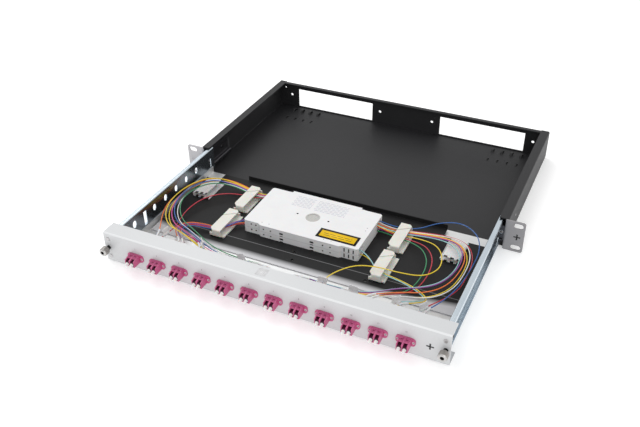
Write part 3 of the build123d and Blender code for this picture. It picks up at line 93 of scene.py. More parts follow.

# Painted shadow on the base in the plate's left notch, and the dark teeth at the front of the clamps, in
# metres
NOTCH_X = -0.1640
NOTCH_HALF = 0.0220
NOTCH_FRONT_Y = -0.0160
TEETH_Y = -0.0598
TEETH_PITCH = 0.0080
TEETH_SHARE = 0.55

# Adapters and their ports, in millimetres
ADAPTER_COUNT = 12
ADAPTER_FIRST_X = -172.8
ADAPTER_PITCH = 31.1
PORT_PITCH = 6.25
PORT_Z = 17.5
BOOT_END_Y = -178.5
ADAPTER_XS = [ADAPTER_FIRST_X + ADAPTER_PITCH * i for i in range(ADAPTER_COUNT)]
PORT_XS = [x + side * PORT_PITCH / 2 for x in ADAPTER_XS for side in (-1, 1)]

# Adapters in front of the panel, in metres: reach, top, open ports, eyes, and the ledges and ribs on top
ADAPTER_FRONT = 0.0130
ADAPTER_TOP_Z = 0.0240
ADAPTER_SKIN = 0.0003
PORT_HALF_X = 0.0024
PORT_HALF_Z = 0.0031
PORT_SHADE = 0.0036
EYE_X = 0.0089
EYE_Z = 0.01895
EYE_RADIUS = 0.0016
LEDGE_BACKS = (0.0072, 0.0102)
LEDGE_HALF = 0.00022
RIB_HALF = 0.0002
CAP_LAP = 0.0004

# Bridges over the rear half of the latch slots, each with two ribs, in metres
BRIDGE_BACK = 0.0050
BRIDGE_SIZE = (0.0045, 0.0030, 0.0009)
BRIDGE_SINK = 0.00005
BRIDGE_RIB_X = 0.0010
BRIDGE_RIB_RISE = 0.0004
BRIDGE_RIB_SIZE = (0.0011, 0.0016, 0.0005)
BRIDGE_RIB_BEVEL = 0.00015

# Cassettes, in millimetres
CASSETTE_X = -12.0
CASSETTE_Y = -66.5
CASSETTE_WIDTH = 157.0
CASSETTE_DEPTH = 84.0
CASSETTE_HEIGHT = 8.2
CASSETTE_WALL = 1.5
TRAY_Z = (6.5, 14.7)
COVER_TOP_Z = 24.1
LATCH_SHIFT = -3.0
LATCH_X = 21.0
DIMPLE_XS = (36.0, 46.0)
ENTRY_WIDTH = 14.0
ENTRY_HEIGHT = 5.0
ENTRY_INSET = 5.0

# Painted shade in the fronts of the cassettes, in metres: recesses, by half width, half height and depth
# behind the front, then latch feet and dimples
RECESSES = ((0.0535, 0.0014, 0.0005), (0.0750, 0.0029, 0.0030))
RECESS_SKIN = 0.00042
LATCH_HALF = 0.0021
LATCH_RISE = 0.0010
DIMPLE_RADIUS = 0.0010
DIMPLE_DEPTH = 0.0010

# Cover, in metres: how deep its outside counts, ground of the dish, holes and clear ring in the print
COVER_SKIN = 0.0007
DISH_RADIUS = 0.0094
DISH_CLEAR = 0.0016
COVER_HOLE_X = 0.0217
COVER_HOLE_RADIUS = 0.00135

# Small moulding marks on the cover: places in millimetres, radius in metres
COVER_MARKS = ((-66.0, -102.0), (-56.0, -102.0), (20.0, -103.0), (30.0, -103.0), (60.0, -60.0), (60.0, -66.0))
COVER_MARK_RADIUS = 0.0007

# Rows of dashes on the cover, in metres, with a gutter across them
PRINT_CENTRE = (-0.0135, -0.0390)
PRINT_HALVES = (0.0375, 0.012)
PRINT_PITCH = 0.0030
PRINT_SHARE = 0.4
WORD_PITCH = 0.0081
WORD_LENGTH = 0.0066
WORD_SHIFT = 0.0037
GUTTER_SHIFT = 0.008
GUTTER_HALF = 0.0022

# Numbers above the ports, in metres
NUMERAL_Z = 0.0303
NUMERAL_DEPTH = 0.00002

# Yellow label on the cover, in metres: block, dark rim and ruled dashes
LABEL_CENTRE = (0.03405, -0.0915)
LABEL_SIZE = (0.0535, 0.0190, 0.00016)
LABEL_LIFT = 0.00005
LABEL_BEVEL = 0.00004
LABEL_RIM = 0.0033
RULES_HALF_Y = 0.0032
RULES_INSET = 2.4
RULE_PITCH = 0.0036
RULE_WIDTH = 0.0012
DASH_PITCH = 0.0094
DASH_LENGTH = 0.0080
DASH_SLANT = 1.7

# Pale label on the panel's top, in metres, with a small ruled sign
PANEL_LABEL_CENTRE = (-0.0057, -0.2105)
PANEL_LABEL_SIZE = (0.0122, 0.0122, 0.00012)
SIGN_HALF = 0.0034
SIGN_PITCH = 0.0017
SIGN_RULE = 0.0006

# Sleeves and tags on the fibres, in metres; a sleeve's profile gives shares of its length and its radius
SLEEVE_LENGTH = 0.013
SLEEVE_STARTS = (0.004, 0.007, 0.0055, 0.003)
SLEEVE_SIDES = 12
SLEEVE_PROFILE = (
    (0.0, 0.7), (0.02, 0.95), (0.06, 1.0), (0.35, 1.0), (0.65, 1.0), (0.94, 1.0), (0.98, 0.95), (1.0, 0.7),
)
TAGGED = (1, 5, 8, 14, 17, 20, 22)
TAG_SIZE = (0.0112, 0.0006, 0.0092)

# Colour of each port's fibre, from left to right
PORT_COLOURS = (
    "orange", "red", "orange", "violet", "red", "blue", "yellow", "yellow",
    "pink", "blue", "white", "green", "turquoise", "violet", "orange", "yellow",
    "yellow", "white", "green", "red", "turquoise", "yellow", "red", "blue",
)

# Rail webs, panel face and middles of the fibre guides, in millimetres
RAIL_WEB_X = 206.5
FACE_MM = -221.5
CLIP_XS = {-1: -118.5, 1: 98.5}

# Colours of marks and print, of painted shade and shadow in recesses, seams, holes and places out of the
# light, of painted highlights and gleam, and how far the shades count
CROSS_BLACK = (0.01, 0.01, 0.011)
EAR_SHADE = 0.5
EAR_SHADOW = (0.02, 0.02, 0.022)
EAR_LEAF_SHADE = (0.045, 0.045, 0.048)
RIVET_BLACK = (0.05, 0.05, 0.052)
BEND_HIGHLIGHT = (0.86, 0.87, 0.88)
INNER_SHADE = 0.6
RAIL_SHADOW = (0.05, 0.06, 0.07)
BASE_SHADOW = (0.012, 0.012, 0.012)
FOLD_HIGHLIGHT = (0.3, 0.3, 0.31)
GLEAM_PALE = (0.62, 0.62, 0.64)
SEAM_SHADE = (0.30, 0.30, 0.31)
RECESS_SHADE = (0.012, 0.012, 0.013)
PRINT_GREY = (0.24, 0.24, 0.36)
DISH_GREYS = ((0.32, 0.32, 0.30), (0.66, 0.65, 0.62))
COVER_MARK_GREY = (0.15, 0.15, 0.16)
COVER_HOLE_SHADE = (0.01, 0.01, 0.01)
LEDGE_SHADOW = (0.10, 0.012, 0.045)
EYE_PALE = (0.72, 0.62, 0.66)
PORT_SHADE_REDS = ((0.03, 0.004, 0.012), (0.20, 0.028, 0.085))
CAP_SHADOW = (0.07, 0.015, 0.035)
TEETH_BLACK = (0.02, 0.02, 0.02)
SCREW_SHADOW = (0.03, 0.03, 0.03)
LABEL_RIM_BLACK = (0.012, 0.010, 0.008)
LABEL_RULE_BROWN = (0.08, 0.06, 0.02)
SIGN_GREY = (0.4, 0.4, 0.4)
TAG_RULE_GREY = (0.25, 0.25, 0.27)

# Floor, in metres: half its side, and the part under the tie slots of the housing, which gets a painted
# shadow
FLOOR_HALF = 30.0
FLOOR_WHITE = (0.92, 0.92, 0.92)
FLOOR_GLOW = 0.26
TIES_CENTRE = (0.0, 0.216)
TIES_HALVES = (0.205, 0.024)
TIES_SHADOW = (0.02, 0.02, 0.02)

# Lamps: name, place and size in metres, and share of the key light's power
LAMPS = (("key", (-1.1, 0.7, 1.9), 1.6, 1.0), ("fill", (1.4, -1.6, 1.4), 1.8, 0.6))

# Point that the camera looks at, and where its view starts, in metres
CAMERA_TARGET = (-0.0101, -0.0493, 0.020)
CAMERA_NEAR = 0.05

# What the properties for colours, lengths and turns share
COLOUR = {"subtype": "COLOR", "size": 3, "min": 0, "max": 1}
LENGTH = {"subtype": "DISTANCE", "unit": "LENGTH"}
TURN = {"subtype": "ANGLE", "unit": "ROTATION"}


def at(x, y, z):
    """Point of the frame from a height counted from the housing's underside."""
    return Vector((x, y, z - ORIGIN_Z))


def at_mm(x, y, z):
    """The same, from millimetres."""
    return at(x / 1000, y / 1000, z / 1000)


class PanelColours(PropertyGroup):
    """Colours of the finishes."""

    housing: FloatVectorProperty(
        name="Housing", description="Powder coat of the housing", default=(0.020, 0.020, 0.0215), **COLOUR)
    ear: FloatVectorProperty(
        name="Ears", description="Coat of the rack ears", default=(0.51, 0.50, 0.515), **COLOUR)
    panel: FloatVectorProperty(
        name="Front panel", description="Powder coat of the front panel",
        default=(0.60, 0.61, 0.62), **COLOUR)
    zinc: FloatVectorProperty(
        name="Zinc", description="Zinc plating of rails and base", default=(0.58, 0.665, 0.745), **COLOUR)
    base: FloatVectorProperty(
        name="Drawer base", description="Zinc plating of the drawer base",
        default=(0.66, 0.68, 0.70), **COLOUR)
    # The guides' dark colour is painted shade
    slide: FloatVectorProperty(
        name="Slide guides", description="Finish of the fixed guides", default=(0.09, 0.09, 0.10), **COLOUR)
    plate: FloatVectorProperty(
        name="Plate", description="Coat of the mounting plate", default=(0.013, 0.013, 0.0135), **COLOUR)
    clamp: FloatVectorProperty(
        name="Clamps", description="Milky plastic of the clamps", default=(0.80, 0.80, 0.80), **COLOUR)
    adapter: FloatVectorProperty(
        name="Adapters", description="Plastic of the duplex adapters", default=(0.50, 0.085, 0.215), **COLOUR)
    cassette: FloatVectorProperty(
        name="Cassettes", description="Plastic of the splice cassettes",
        default=(0.75, 0.75, 0.755), **COLOUR)
    guide: FloatVectorProperty(
        name="Fibre guides", description="Plastic of the fibre guides", default=(0.76, 0.75, 0.69), **COLOUR)
    label: FloatVectorProperty(
        name="Label", description="Ground of the blank label", default=(0.84, 0.53, 0.004), **COLOUR)


class FibreColours(PropertyGroup):
    """Coatings of the fibres."""

    red: FloatVectorProperty(name="Red", description="Coating", default=(0.50, 0.015, 0.04), **COLOUR)
    green: FloatVectorProperty(name="Green", description="Coating", default=(0.02, 0.24, 0.09), **COLOUR)
    blue: FloatVectorProperty(name="Blue", description="Coating", default=(0.01, 0.10, 0.36), **COLOUR)
    yellow: FloatVectorProperty(name="Yellow", description="Coating", default=(0.82, 0.60, 0.02), **COLOUR)
    white: FloatVectorProperty(name="White", description="Coating", default=(0.75, 0.75, 0.74), **COLOUR)
    violet: FloatVectorProperty(name="Violet", description="Coating", default=(0.24, 0.035, 0.28), **COLOUR)
    turquoise: FloatVectorProperty(
        name="Turquoise", description="Coating", default=(0.32, 0.60, 0.62), **COLOUR)
    orange: FloatVectorProperty(name="Orange", description="Coating", default=(0.84, 0.17, 0.02), **COLOUR)
    pink: FloatVectorProperty(name="Pink", description="Coating", default=(0.62, 0.07, 0.32), **COLOUR)


class PieceSizes(PropertyGroup):
    """Sizes of the pieces that are added to the solids."""

    fibre: FloatProperty(
        name="Fibre", description="Diameter of a fibre", default=0.0013, min=0.0004, max=0.002, **LENGTH)
    sleeve: FloatProperty(
        name="Number sleeve", description="Diameter of the sleeve on a fibre",
        default=0.0028, min=0.001, max=0.004, **LENGTH)
    numeral: FloatProperty(
        name="Port number", description="Height of the numbers above the ports",
        default=0.0026, min=0.001, max=0.006, **LENGTH)
    knurls: IntProperty(
        name="Knurls", description="Ridges round a thumbscrew's head", default=28, min=8, max=60)


class StageSettings(PropertyGroup):
    """Camera and light."""

    lens: FloatProperty(
        name="Lens", description="Focal length on a 36 mm sensor, in millimetres",
        default=43.45, min=10, max=200)
    azimuth: FloatProperty(
        name="Azimuth", description="Turn of the view to the left of straight on",
        default=radians(25.57), **TURN)
    elevation: FloatProperty(
        name="Elevation", description="Height of the view above the horizon", default=radians(34.58), **TURN)
    roll: FloatProperty(
        name="Roll", description="Turn of the camera about its own axis", default=radians(-0.82), **TURN)
    distance: FloatProperty(
        name="Distance", description="From the camera to the point it looks at", default=0.9953, **LENGTH)
    key: FloatProperty(
        name="Key light", description="Power of the large soft light", subtype="POWER", unit="POWER",
        default=16.0)
    sky: FloatProperty(name="Surround", description="Strength of the even white surround", default=0.85)


class Term:
    """A shader socket that takes part in Python expressions."""

    def __init__(self, look, socket):
        self.look = look
        self.socket = socket

    def math(self, operation, *values):
        return self.look.node("ShaderNodeMath", {"operation": operation}, dict(enumerate(values)))

    def __add__(self, other):
        return self.math("ADD", self, other)

    def __sub__(self, other):
        return self.math("SUBTRACT", self, other)

    def __mul__(self, other):
        return self.math("MULTIPLY", self, other)

    def __rsub__(self, other):
        return self.math("SUBTRACT", other, self)

    def __abs__(self):
        return self.math("ABSOLUTE", self)

    def __gt__(self, other):
        return self.math("GREATER_THAN", self, other)

    def __lt__(self, other):
        return self.math("LESS_THAN", self, other)

    def __and__(self, other):
        return self.math("MINIMUM", self, other)

    def __or__(self, other):
        return self.math("MAXIMUM", self, other)

    __radd__ = __add__
    __rmul__ = __mul__

    def floor(self):
        return self.math("FLOOR", self)

    def modulo(self, step):
        """Distance into a repeat of that length, never negative."""
        return self.math("FLOORED_MODULO", self, step)


class Look:
    """One finish: a material whose nodes come from expressions."""

    def __init__(self, name, colour, roughness, **uniform):
        self.material = bpy.data.materials.new(name)
        self.material.use_nodes = True
        self.tree = self.material.node_tree
        self.shader = self.tree.nodes["Principled BSDF"]
        self.colour = (*colour, 1.0)
        self.shader.inputs["Base Color"].default_value = self.colour
        self.shader.inputs["Roughness"].default_value = roughness
        for socket, value in uniform.items():
            self.shader.inputs[socket.replace("_", " ")].default_value = value
        self.material.diffuse_color = self.colour

    def node(self, kind, settings=None, sockets=None, output=0):
        """Add any node: its settings first, then the values or links of its sockets."""
        made = self.tree.nodes.new(kind)
        for name, value in (settings or {}).items():
            if name == "stops":
                for stop, (place, shade) in zip(made.color_ramp.elements, value):
                    stop.position = place
                    stop.color = (shade, shade, shade, 1)
            else:
                setattr(made, name, value)
        for name, value in (sockets or {}).items():
            if isinstance(value, Term):
                self.tree.links.new(value.socket, made.inputs[name])
            else:
                made.inputs[name].default_value = value
        return Term(self, made.outputs[output])

    def place(self):
        """Place on the object, in metres."""
        return self.node("ShaderNodeTexCoord", output="Object")

    def axes(self):
        """The three numbers of the place on the object."""
        parts = self.node("ShaderNodeSeparateXYZ", sockets={0: self.place()}).socket.node
        return [Term(self, socket) for socket in parts.outputs]

    def spots(self, centres, radius, axes=(0, 1)):
        """Round spots seen along the third axis: 1 inside them and 0 outside."""
        across, along = (self.axes()[i] for i in axes)
        found = None
        for x, y in centres:
            gap = (across - x) * (across - x) + (along - y) * (along - y)
            spot = gap < radius * radius
            found = spot if found is None else found | spot
        return found

    def near(self, value, centre, half):
        """1 where a number is within half of a centre."""
        return abs(value - centre) < half

    def inside(self, centre, halves, axes=(0, 1)):
        """1 inside an upright rectangle seen along the third axis."""
        across, along = (self.axes()[i] for i in axes)
        return self.near(across, centre[0], halves[0]) & self.near(along, centre[1], halves[1])

    def noise(self, scale, detail=2.0, stretch=None):
        """Noise from 0 to 1 with features of about 1/scale metres."""
        place = self.place()
        if stretch:
            place = self.node("ShaderNodeMapping", sockets={"Vector": place, "Scale": stretch})
        return self.node("ShaderNodeTexNoise", sockets={"Vector": place, "Scale": scale, "Detail": detail})

    def ramp(self, value, *stops):
        """Grey between two stops, each a place and a shade."""
        return self.node("ShaderNodeValToRGB", {"stops": stops}, {0: value})

    def mix(self, factor, one, other):
        """Blend of two colours by a number from 0 to 1."""
        one, other = ((*c, 1.0) if isinstance(c, tuple) and len(c) == 3 else c for c in (one, other))
        return self.node("ShaderNodeMix", {"data_type": "RGBA"}, {0: factor, 6: one, 7: other}, output=2)

    def shade(self, factor, amount):
        """The finish's own colour, darkened and lightened by a number from 0 to 1."""
        low = tuple(c * (1 - amount) for c in self.colour[:3])
        high = tuple(min(1.0, c * (1 + amount)) for c in self.colour[:3])
        return self.mix(factor, low, high)

    def feed(self, **links):
        for name, value in links.items():
            self.tree.links.new(value.socket, self.shader.inputs[name.replace("_", " ")])
        return self

    def paint(self, factor, one, other):
        """Give the finish a blend of two colours by a number from 0 to 1."""
        return self.feed(Base_Color=self.mix(factor, one, other))

    def bump(self, height, depth, strength):
        """Relief of that depth in metres."""
        sockets = {"Strength": strength, "Distance": depth, "Height": height}
        return self.feed(Normal=self.node("ShaderNodeBump", sockets=sockets))


def dress(look, *nodes):
    """Give solids of the frame their finish."""
    for node in nodes:
        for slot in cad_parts[node].material_slots:
            slot.material = look.material


def add_object(name, data, look=None):
    """Put new data into the scene, with its finish."""
    thing = bpy.data.objects.new(name, data)
    bpy.context.scene.collection.objects.link(thing)
    if look:
        data.materials.append(look.material)
    return thing


def piece(name, mesh, look, body="drawer"):
    """Make a mesh a piece that rides on a body."""
    thing = add_object(name, mesh, look)
    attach(thing, body)


def finished(build, name, smooth=True):
    """Mesh from a bmesh, with its faces turned outward."""
    bmesh.ops.recalc_face_normals(build, faces=build.faces)
    mesh = bpy.data.meshes.new(name)
    build.to_mesh(mesh)
    build.free()
    if smooth:
        mesh.shade_smooth()
    return mesh


def add_block(build, centre, size, bevel):
    """Add a rounded block to a bmesh."""
    made = bmesh.ops.create_cube(build, size=1.0)["verts"]
    bmesh.ops.scale(build, vec=size, verts=made)
    edges = {edge for vert in made for edge in vert.link_edges}
    made = bmesh.ops.bevel(build, geom=list(edges), offset=bevel, segments=2, affect="EDGES")["verts"]
    bmesh.ops.translate(build, vec=centre, verts=made)


def join_rings(build, rings):
    """Close the walls between rings that have the same number of points."""
    for near, far in zip(rings, rings[1:]):
        for k in range(len(near)):
            after = (k + 1) % len(near)
            build.faces.new((near[k], near[after], far[after], far[k]))


def powder_coat(name, colour, roughness, grain=0.00008, sheen=0.4):
    """Fine textured powder coat."""
    look = Look(name, colour, roughness, Specular_IOR_Level=sheen)
    fine = look.noise(1400.0, 3.0)
    broad = look.noise(14.0, 3.0)
    look.feed(Base_Color=look.shade(broad * 0.5 + fine * 0.5, 0.18))
    look.feed(Roughness=fine * 0.16 + (roughness - 0.08))
    return look.bump(fine, grain, 0.55)


def plated(name, colour, roughness=0.3, metallic=1.0):
    """Zinc or nickel plating: polished metal with drawn streaks and cloudy, slightly warmer patches."""
    look = Look(name, colour, roughness, Metallic=metallic)
    streak = look.noise(60.0, 4.0, (60.0, 2.5, 60.0))
    cloud = look.noise(38.0, 3.0)
    warm = tuple(min(1.0, c * w) for c, w in zip(colour, (1.12, 1.03, 0.92)))
    look.plain = look.mix(cloud * 0.5, look.shade(cloud * 0.5 + streak * 0.5, 0.14), warm)
    look.feed(Base_Color=look.plain)
    look.feed(Roughness=cloud * 0.14 + streak * 0.10 + (roughness - 0.12))
    return look.bump(streak, 0.00003, 0.5)


def moulded(name, colour, roughness=0.42, soft=0.0, **uniform):
    """Moulded plastic with a fine spark-eroded grain."""
    look = Look(name, colour, roughness, Subsurface_Weight=soft, Subsurface_Scale=0.001, **uniform)
    grain = look.noise(2600.0)
    cloud = look.noise(55.0)
    look.feed(Base_Color=look.shade(cloud, 0.07))
    look.feed(Roughness=grain * 0.14 + (roughness - 0.07))
    return look.bump(grain, 0.00003, 0.5)


def cross_mark(look, x, z):
    """1 inside a cross-shaped mark on a face that looks forward."""
    centre = (x, z - ORIGIN_Z)
    upright = look.inside(centre, (CROSS_ARM_HALF, CROSS_HALF), (0, 2))
    return upright | look.inside(centre, (CROSS_HALF, CROSS_ARM_HALF), (0, 2))


class SPLICE_OT_finish_housing(Operator):
    """Give the housing, ears, guides and rivets their coats and plating"""

    bl_idname = "splice.finish_housing"
    bl_label = "Finish the housing"

    def execute(self, context):
        colours = context.scene.splice_colours
        dress(powder_coat("housing_black", colours.housing, 0.5, sheen=0.28), "housing")
        ear = powder_coat("ear_grey", colours.ear, 0.42)
        across, depth, _ = ear.axes()
        plain = ear.shade(ear.noise(1400.0, 3.0), 0.18)
        shaded = ear.mix((across > 0.0) * EAR_SHADE, plain, EAR_SHADOW)
        # Painted shade: behind its front, the ear's leaf inside the housing is coloured near black
        dark = ear.mix(depth > EAR_LEAF_Y, shaded, EAR_LEAF_SHADE)
        marks = cross_mark(ear, EAR_CROSS_X, ORIGIN_Z) & (depth < EAR_CROSS_DEPTH)
        ear.paint(marks, dark, CROSS_BLACK)
        dress(ear, "ear_left", "ear_right")
        # The slide guides' dark colour is painted shade, as they stand in shade along the housing's walls
        dress(plated("guide_zinc", colours.slide, 0.4), "slide_guide_left", "slide_guide_right")
        dress(plated("bush_steel", (0.42, 0.42, 0.43)), "receiver_nuts")
        rivet = plated("rivet_steel", (0.45, 0.45, 0.46), 0.35)
        across, _, _ = rivet.axes()
        rivet.paint(across > 0.0, RIVET_BLACK, rivet.plain)
        dress(rivet, "ear_rivets")
        return {"FINISHED"}


class SPLICE_OT_finish_drawer(Operator):
    """Give the drawer's panel, rails, base and plate their coats and plating"""

    bl_idname = "splice.finish_drawer"
    bl_label = "Finish the drawer"

    def execute(self, context):
        colours = context.scene.splice_colours
        panel = powder_coat("panel_grey", colours.panel, 0.30, 0.00003, sheen=0.6)
        _, depth, up = panel.axes()
        plain = panel.shade(panel.noise(900.0, 3.0), 0.05)
        # Painted highlight along the bend between the face and the top
        bend = (depth < PANEL_FACE_Y + PANEL_BEND) & (up > PANEL_TOP_Z - ORIGIN_Z - PANEL_BEND)
        lined = panel.mix(bend * 0.6, plain, BEND_HIGHLIGHT)
        mark = cross_mark(panel, PANEL_CROSS_X, PANEL_CROSS_Z)
        panel.paint(mark, lined, CROSS_BLACK)
        dress(panel, "front_panel")
        rail = plated("rail_zinc", colours.zinc, 0.24)
        inner = abs(rail.axes()[0]) < RAIL_WEB_X / 1000 + SKIN
        rail.paint(inner * INNER_SHADE, rail.plain, RAIL_SHADOW)
        dress(rail, "slide_rail_left", "slide_rail_right")
        base = plated("base_zinc", colours.base, 0.42, 0.75)
        across, depth, _ = base.axes()
        # Painted shadow on the base in the plate's left notch
        notch = base.near(across, NOTCH_X, NOTCH_HALF) & (depth > NOTCH_FRONT_Y)
        base.paint(notch, base.plain, BASE_SHADOW)
        dress(base, "drawer_base")
        plate = powder_coat("plate_black", colours.plate, 0.5, sheen=0.16)
        across, depth, _ = plate.axes()
        # Painted highlight along the fold, then the painted gleam on the sloping front
        fold = plate.near(depth, PLATE_FOLD_Y, PLATE_FOLD_HALF)
        plain = plate.shade(plate.noise(700.0, 3.0), 0.2)
        lined = plate.mix(fold * 0.5, plain, FOLD_HIGHLIGHT)
        start = (abs(across) - GLEAM_SIDE | 0.0) * GLEAM_FLARE + GLEAM_Y
        gleam = ((start - depth) * (1 / GLEAM_DEPTH) | 0.0) & 1.0
        plate.paint(gleam, lined, GLEAM_PALE)
        dress(plate, "mounting_plate")
        dress(plated("screw_zinc", (0.5, 0.5, 0.52)), "panel_screws")
        dress(plated("stud_steel", (0.5, 0.5, 0.5)), "cassette_stud")
        return {"FINISHED"}


class SPLICE_OT_finish_cassettes(Operator):
    """Give the cassettes, combs and cover their plastic, with painted shade in recesses, seams and holes, and
    the printed rules
    """

    bl_idname = "splice.finish_cassettes"
    bl_label = "Finish the cassettes"

    def execute(self, context):
        colour = context.scene.splice_colours.cassette
        for name, floor in zip(("lower", "upper"), TRAY_Z):
            tray = moulded(f"cassette_white_{name}", colour, 0.4, 0.05)
            x, y, z = tray.axes()
            base = floor / 1000 - ORIGIN_Z
            middle = (floor + CASSETTE_HEIGHT / 2) / 1000 - ORIGIN_Z
            front = (CASSETTE_Y - CASSETTE_DEPTH / 2) / 1000
            # Painted shade: the latch notches, the dimples and the backs of the recesses are coloured near
            # black
            feet = tray.near(abs(x - (CASSETTE_X + LATCH_SHIFT) / 1000), LATCH_X / 1000, LATCH_HALF)
            notch = feet & (z < base + LATCH_RISE) & (y < front + SKIN)
            places = [((CASSETTE_X + LATCH_SHIFT + side * gap) / 1000, middle)
                      for gap in DIMPLE_XS for side in (-1, 1)]
            dark = notch | tray.spots(places, DIMPLE_RADIUS, (0, 2)) & (y < front + DIMPLE_DEPTH)
            for half_x, half_z, back in RECESSES:
                recess = tray.inside((CASSETTE_X / 1000, middle), (half_x, half_z), (0, 2))
                dark = dark | recess & tray.near(y, front + back, RECESS_SKIN)
            # Painted shade along the seams between the stacked trays
            seam = tray.near(z, base, SKIN) | tray.near(z, base + CASSETTE_HEIGHT / 1000, SKIN)
            plain = tray.mix(seam * 0.6, tray.shade(tray.noise(55.0), 0.05), SEAM_SHADE)
            tray.paint(dark, plain, RECESS_SHADE)
            dress(tray, f"cassette_{name}")
        dress(moulded("comb_grey", (0.55, 0.55, 0.55)), "splice_comb_lower", "splice_comb_upper")
        dress(self.cover(colour), "cassette_cover")
        return {"FINISHED"}

    @staticmethod
    def cover(colour):
        """White lid with a grey mottled dish, holes dark with painted shade and rows of faint dashes."""
        cover = moulded("cover_white", colour, 0.38, 0.05)
        x, y, z = cover.axes()
        outside = z > COVER_TOP_Z / 1000 - ORIGIN_Z - COVER_SKIN
        centre = (CASSETTE_X / 1000, CASSETTE_Y / 1000)
        plain = cover.shade(cover.noise(55.0), 0.04)
        row = (y * (1 / PRINT_PITCH)).floor()
        words = (x + row * WORD_SHIFT).modulo(WORD_PITCH) < WORD_LENGTH
        rows = y.modulo(PRINT_PITCH) < PRINT_PITCH * PRINT_SHARE
        blank = cover.spots([centre], DISH_RADIUS + DISH_CLEAR)
        field = cover.inside(PRINT_CENTRE, PRINT_HALVES)
        gutter = cover.near(x, PRINT_CENTRE[0] - GUTTER_SHIFT, GUTTER_HALF)
        ink = field & rows & words & (1.0 - blank) & (1.0 - gutter) & outside
        printed = cover.mix(ink * 0.45, plain, PRINT_GREY)
        mottled = cover.ramp(cover.noise(900.0, 3.0), (0.4, 0.30), (0.6, 0.52))
        dish = cover.mix(mottled, *DISH_GREYS)
        dished = cover.mix(cover.spots([centre], DISH_RADIUS) & outside, printed, dish)
        # Painted shade in the cover's holes
        places = [(centre[0] + side * COVER_HOLE_X, centre[1]) for side in (-1, 1)]
        holes = cover.spots(places, COVER_HOLE_RADIUS)
        marks = cover.spots([(x / 1000, y / 1000) for x, y in COVER_MARKS], COVER_MARK_RADIUS)
        marked = cover.mix((marks & outside) * 0.8, dished, COVER_MARK_GREY)
        cover.paint(holes, marked, COVER_HOLE_SHADE)
        return cover


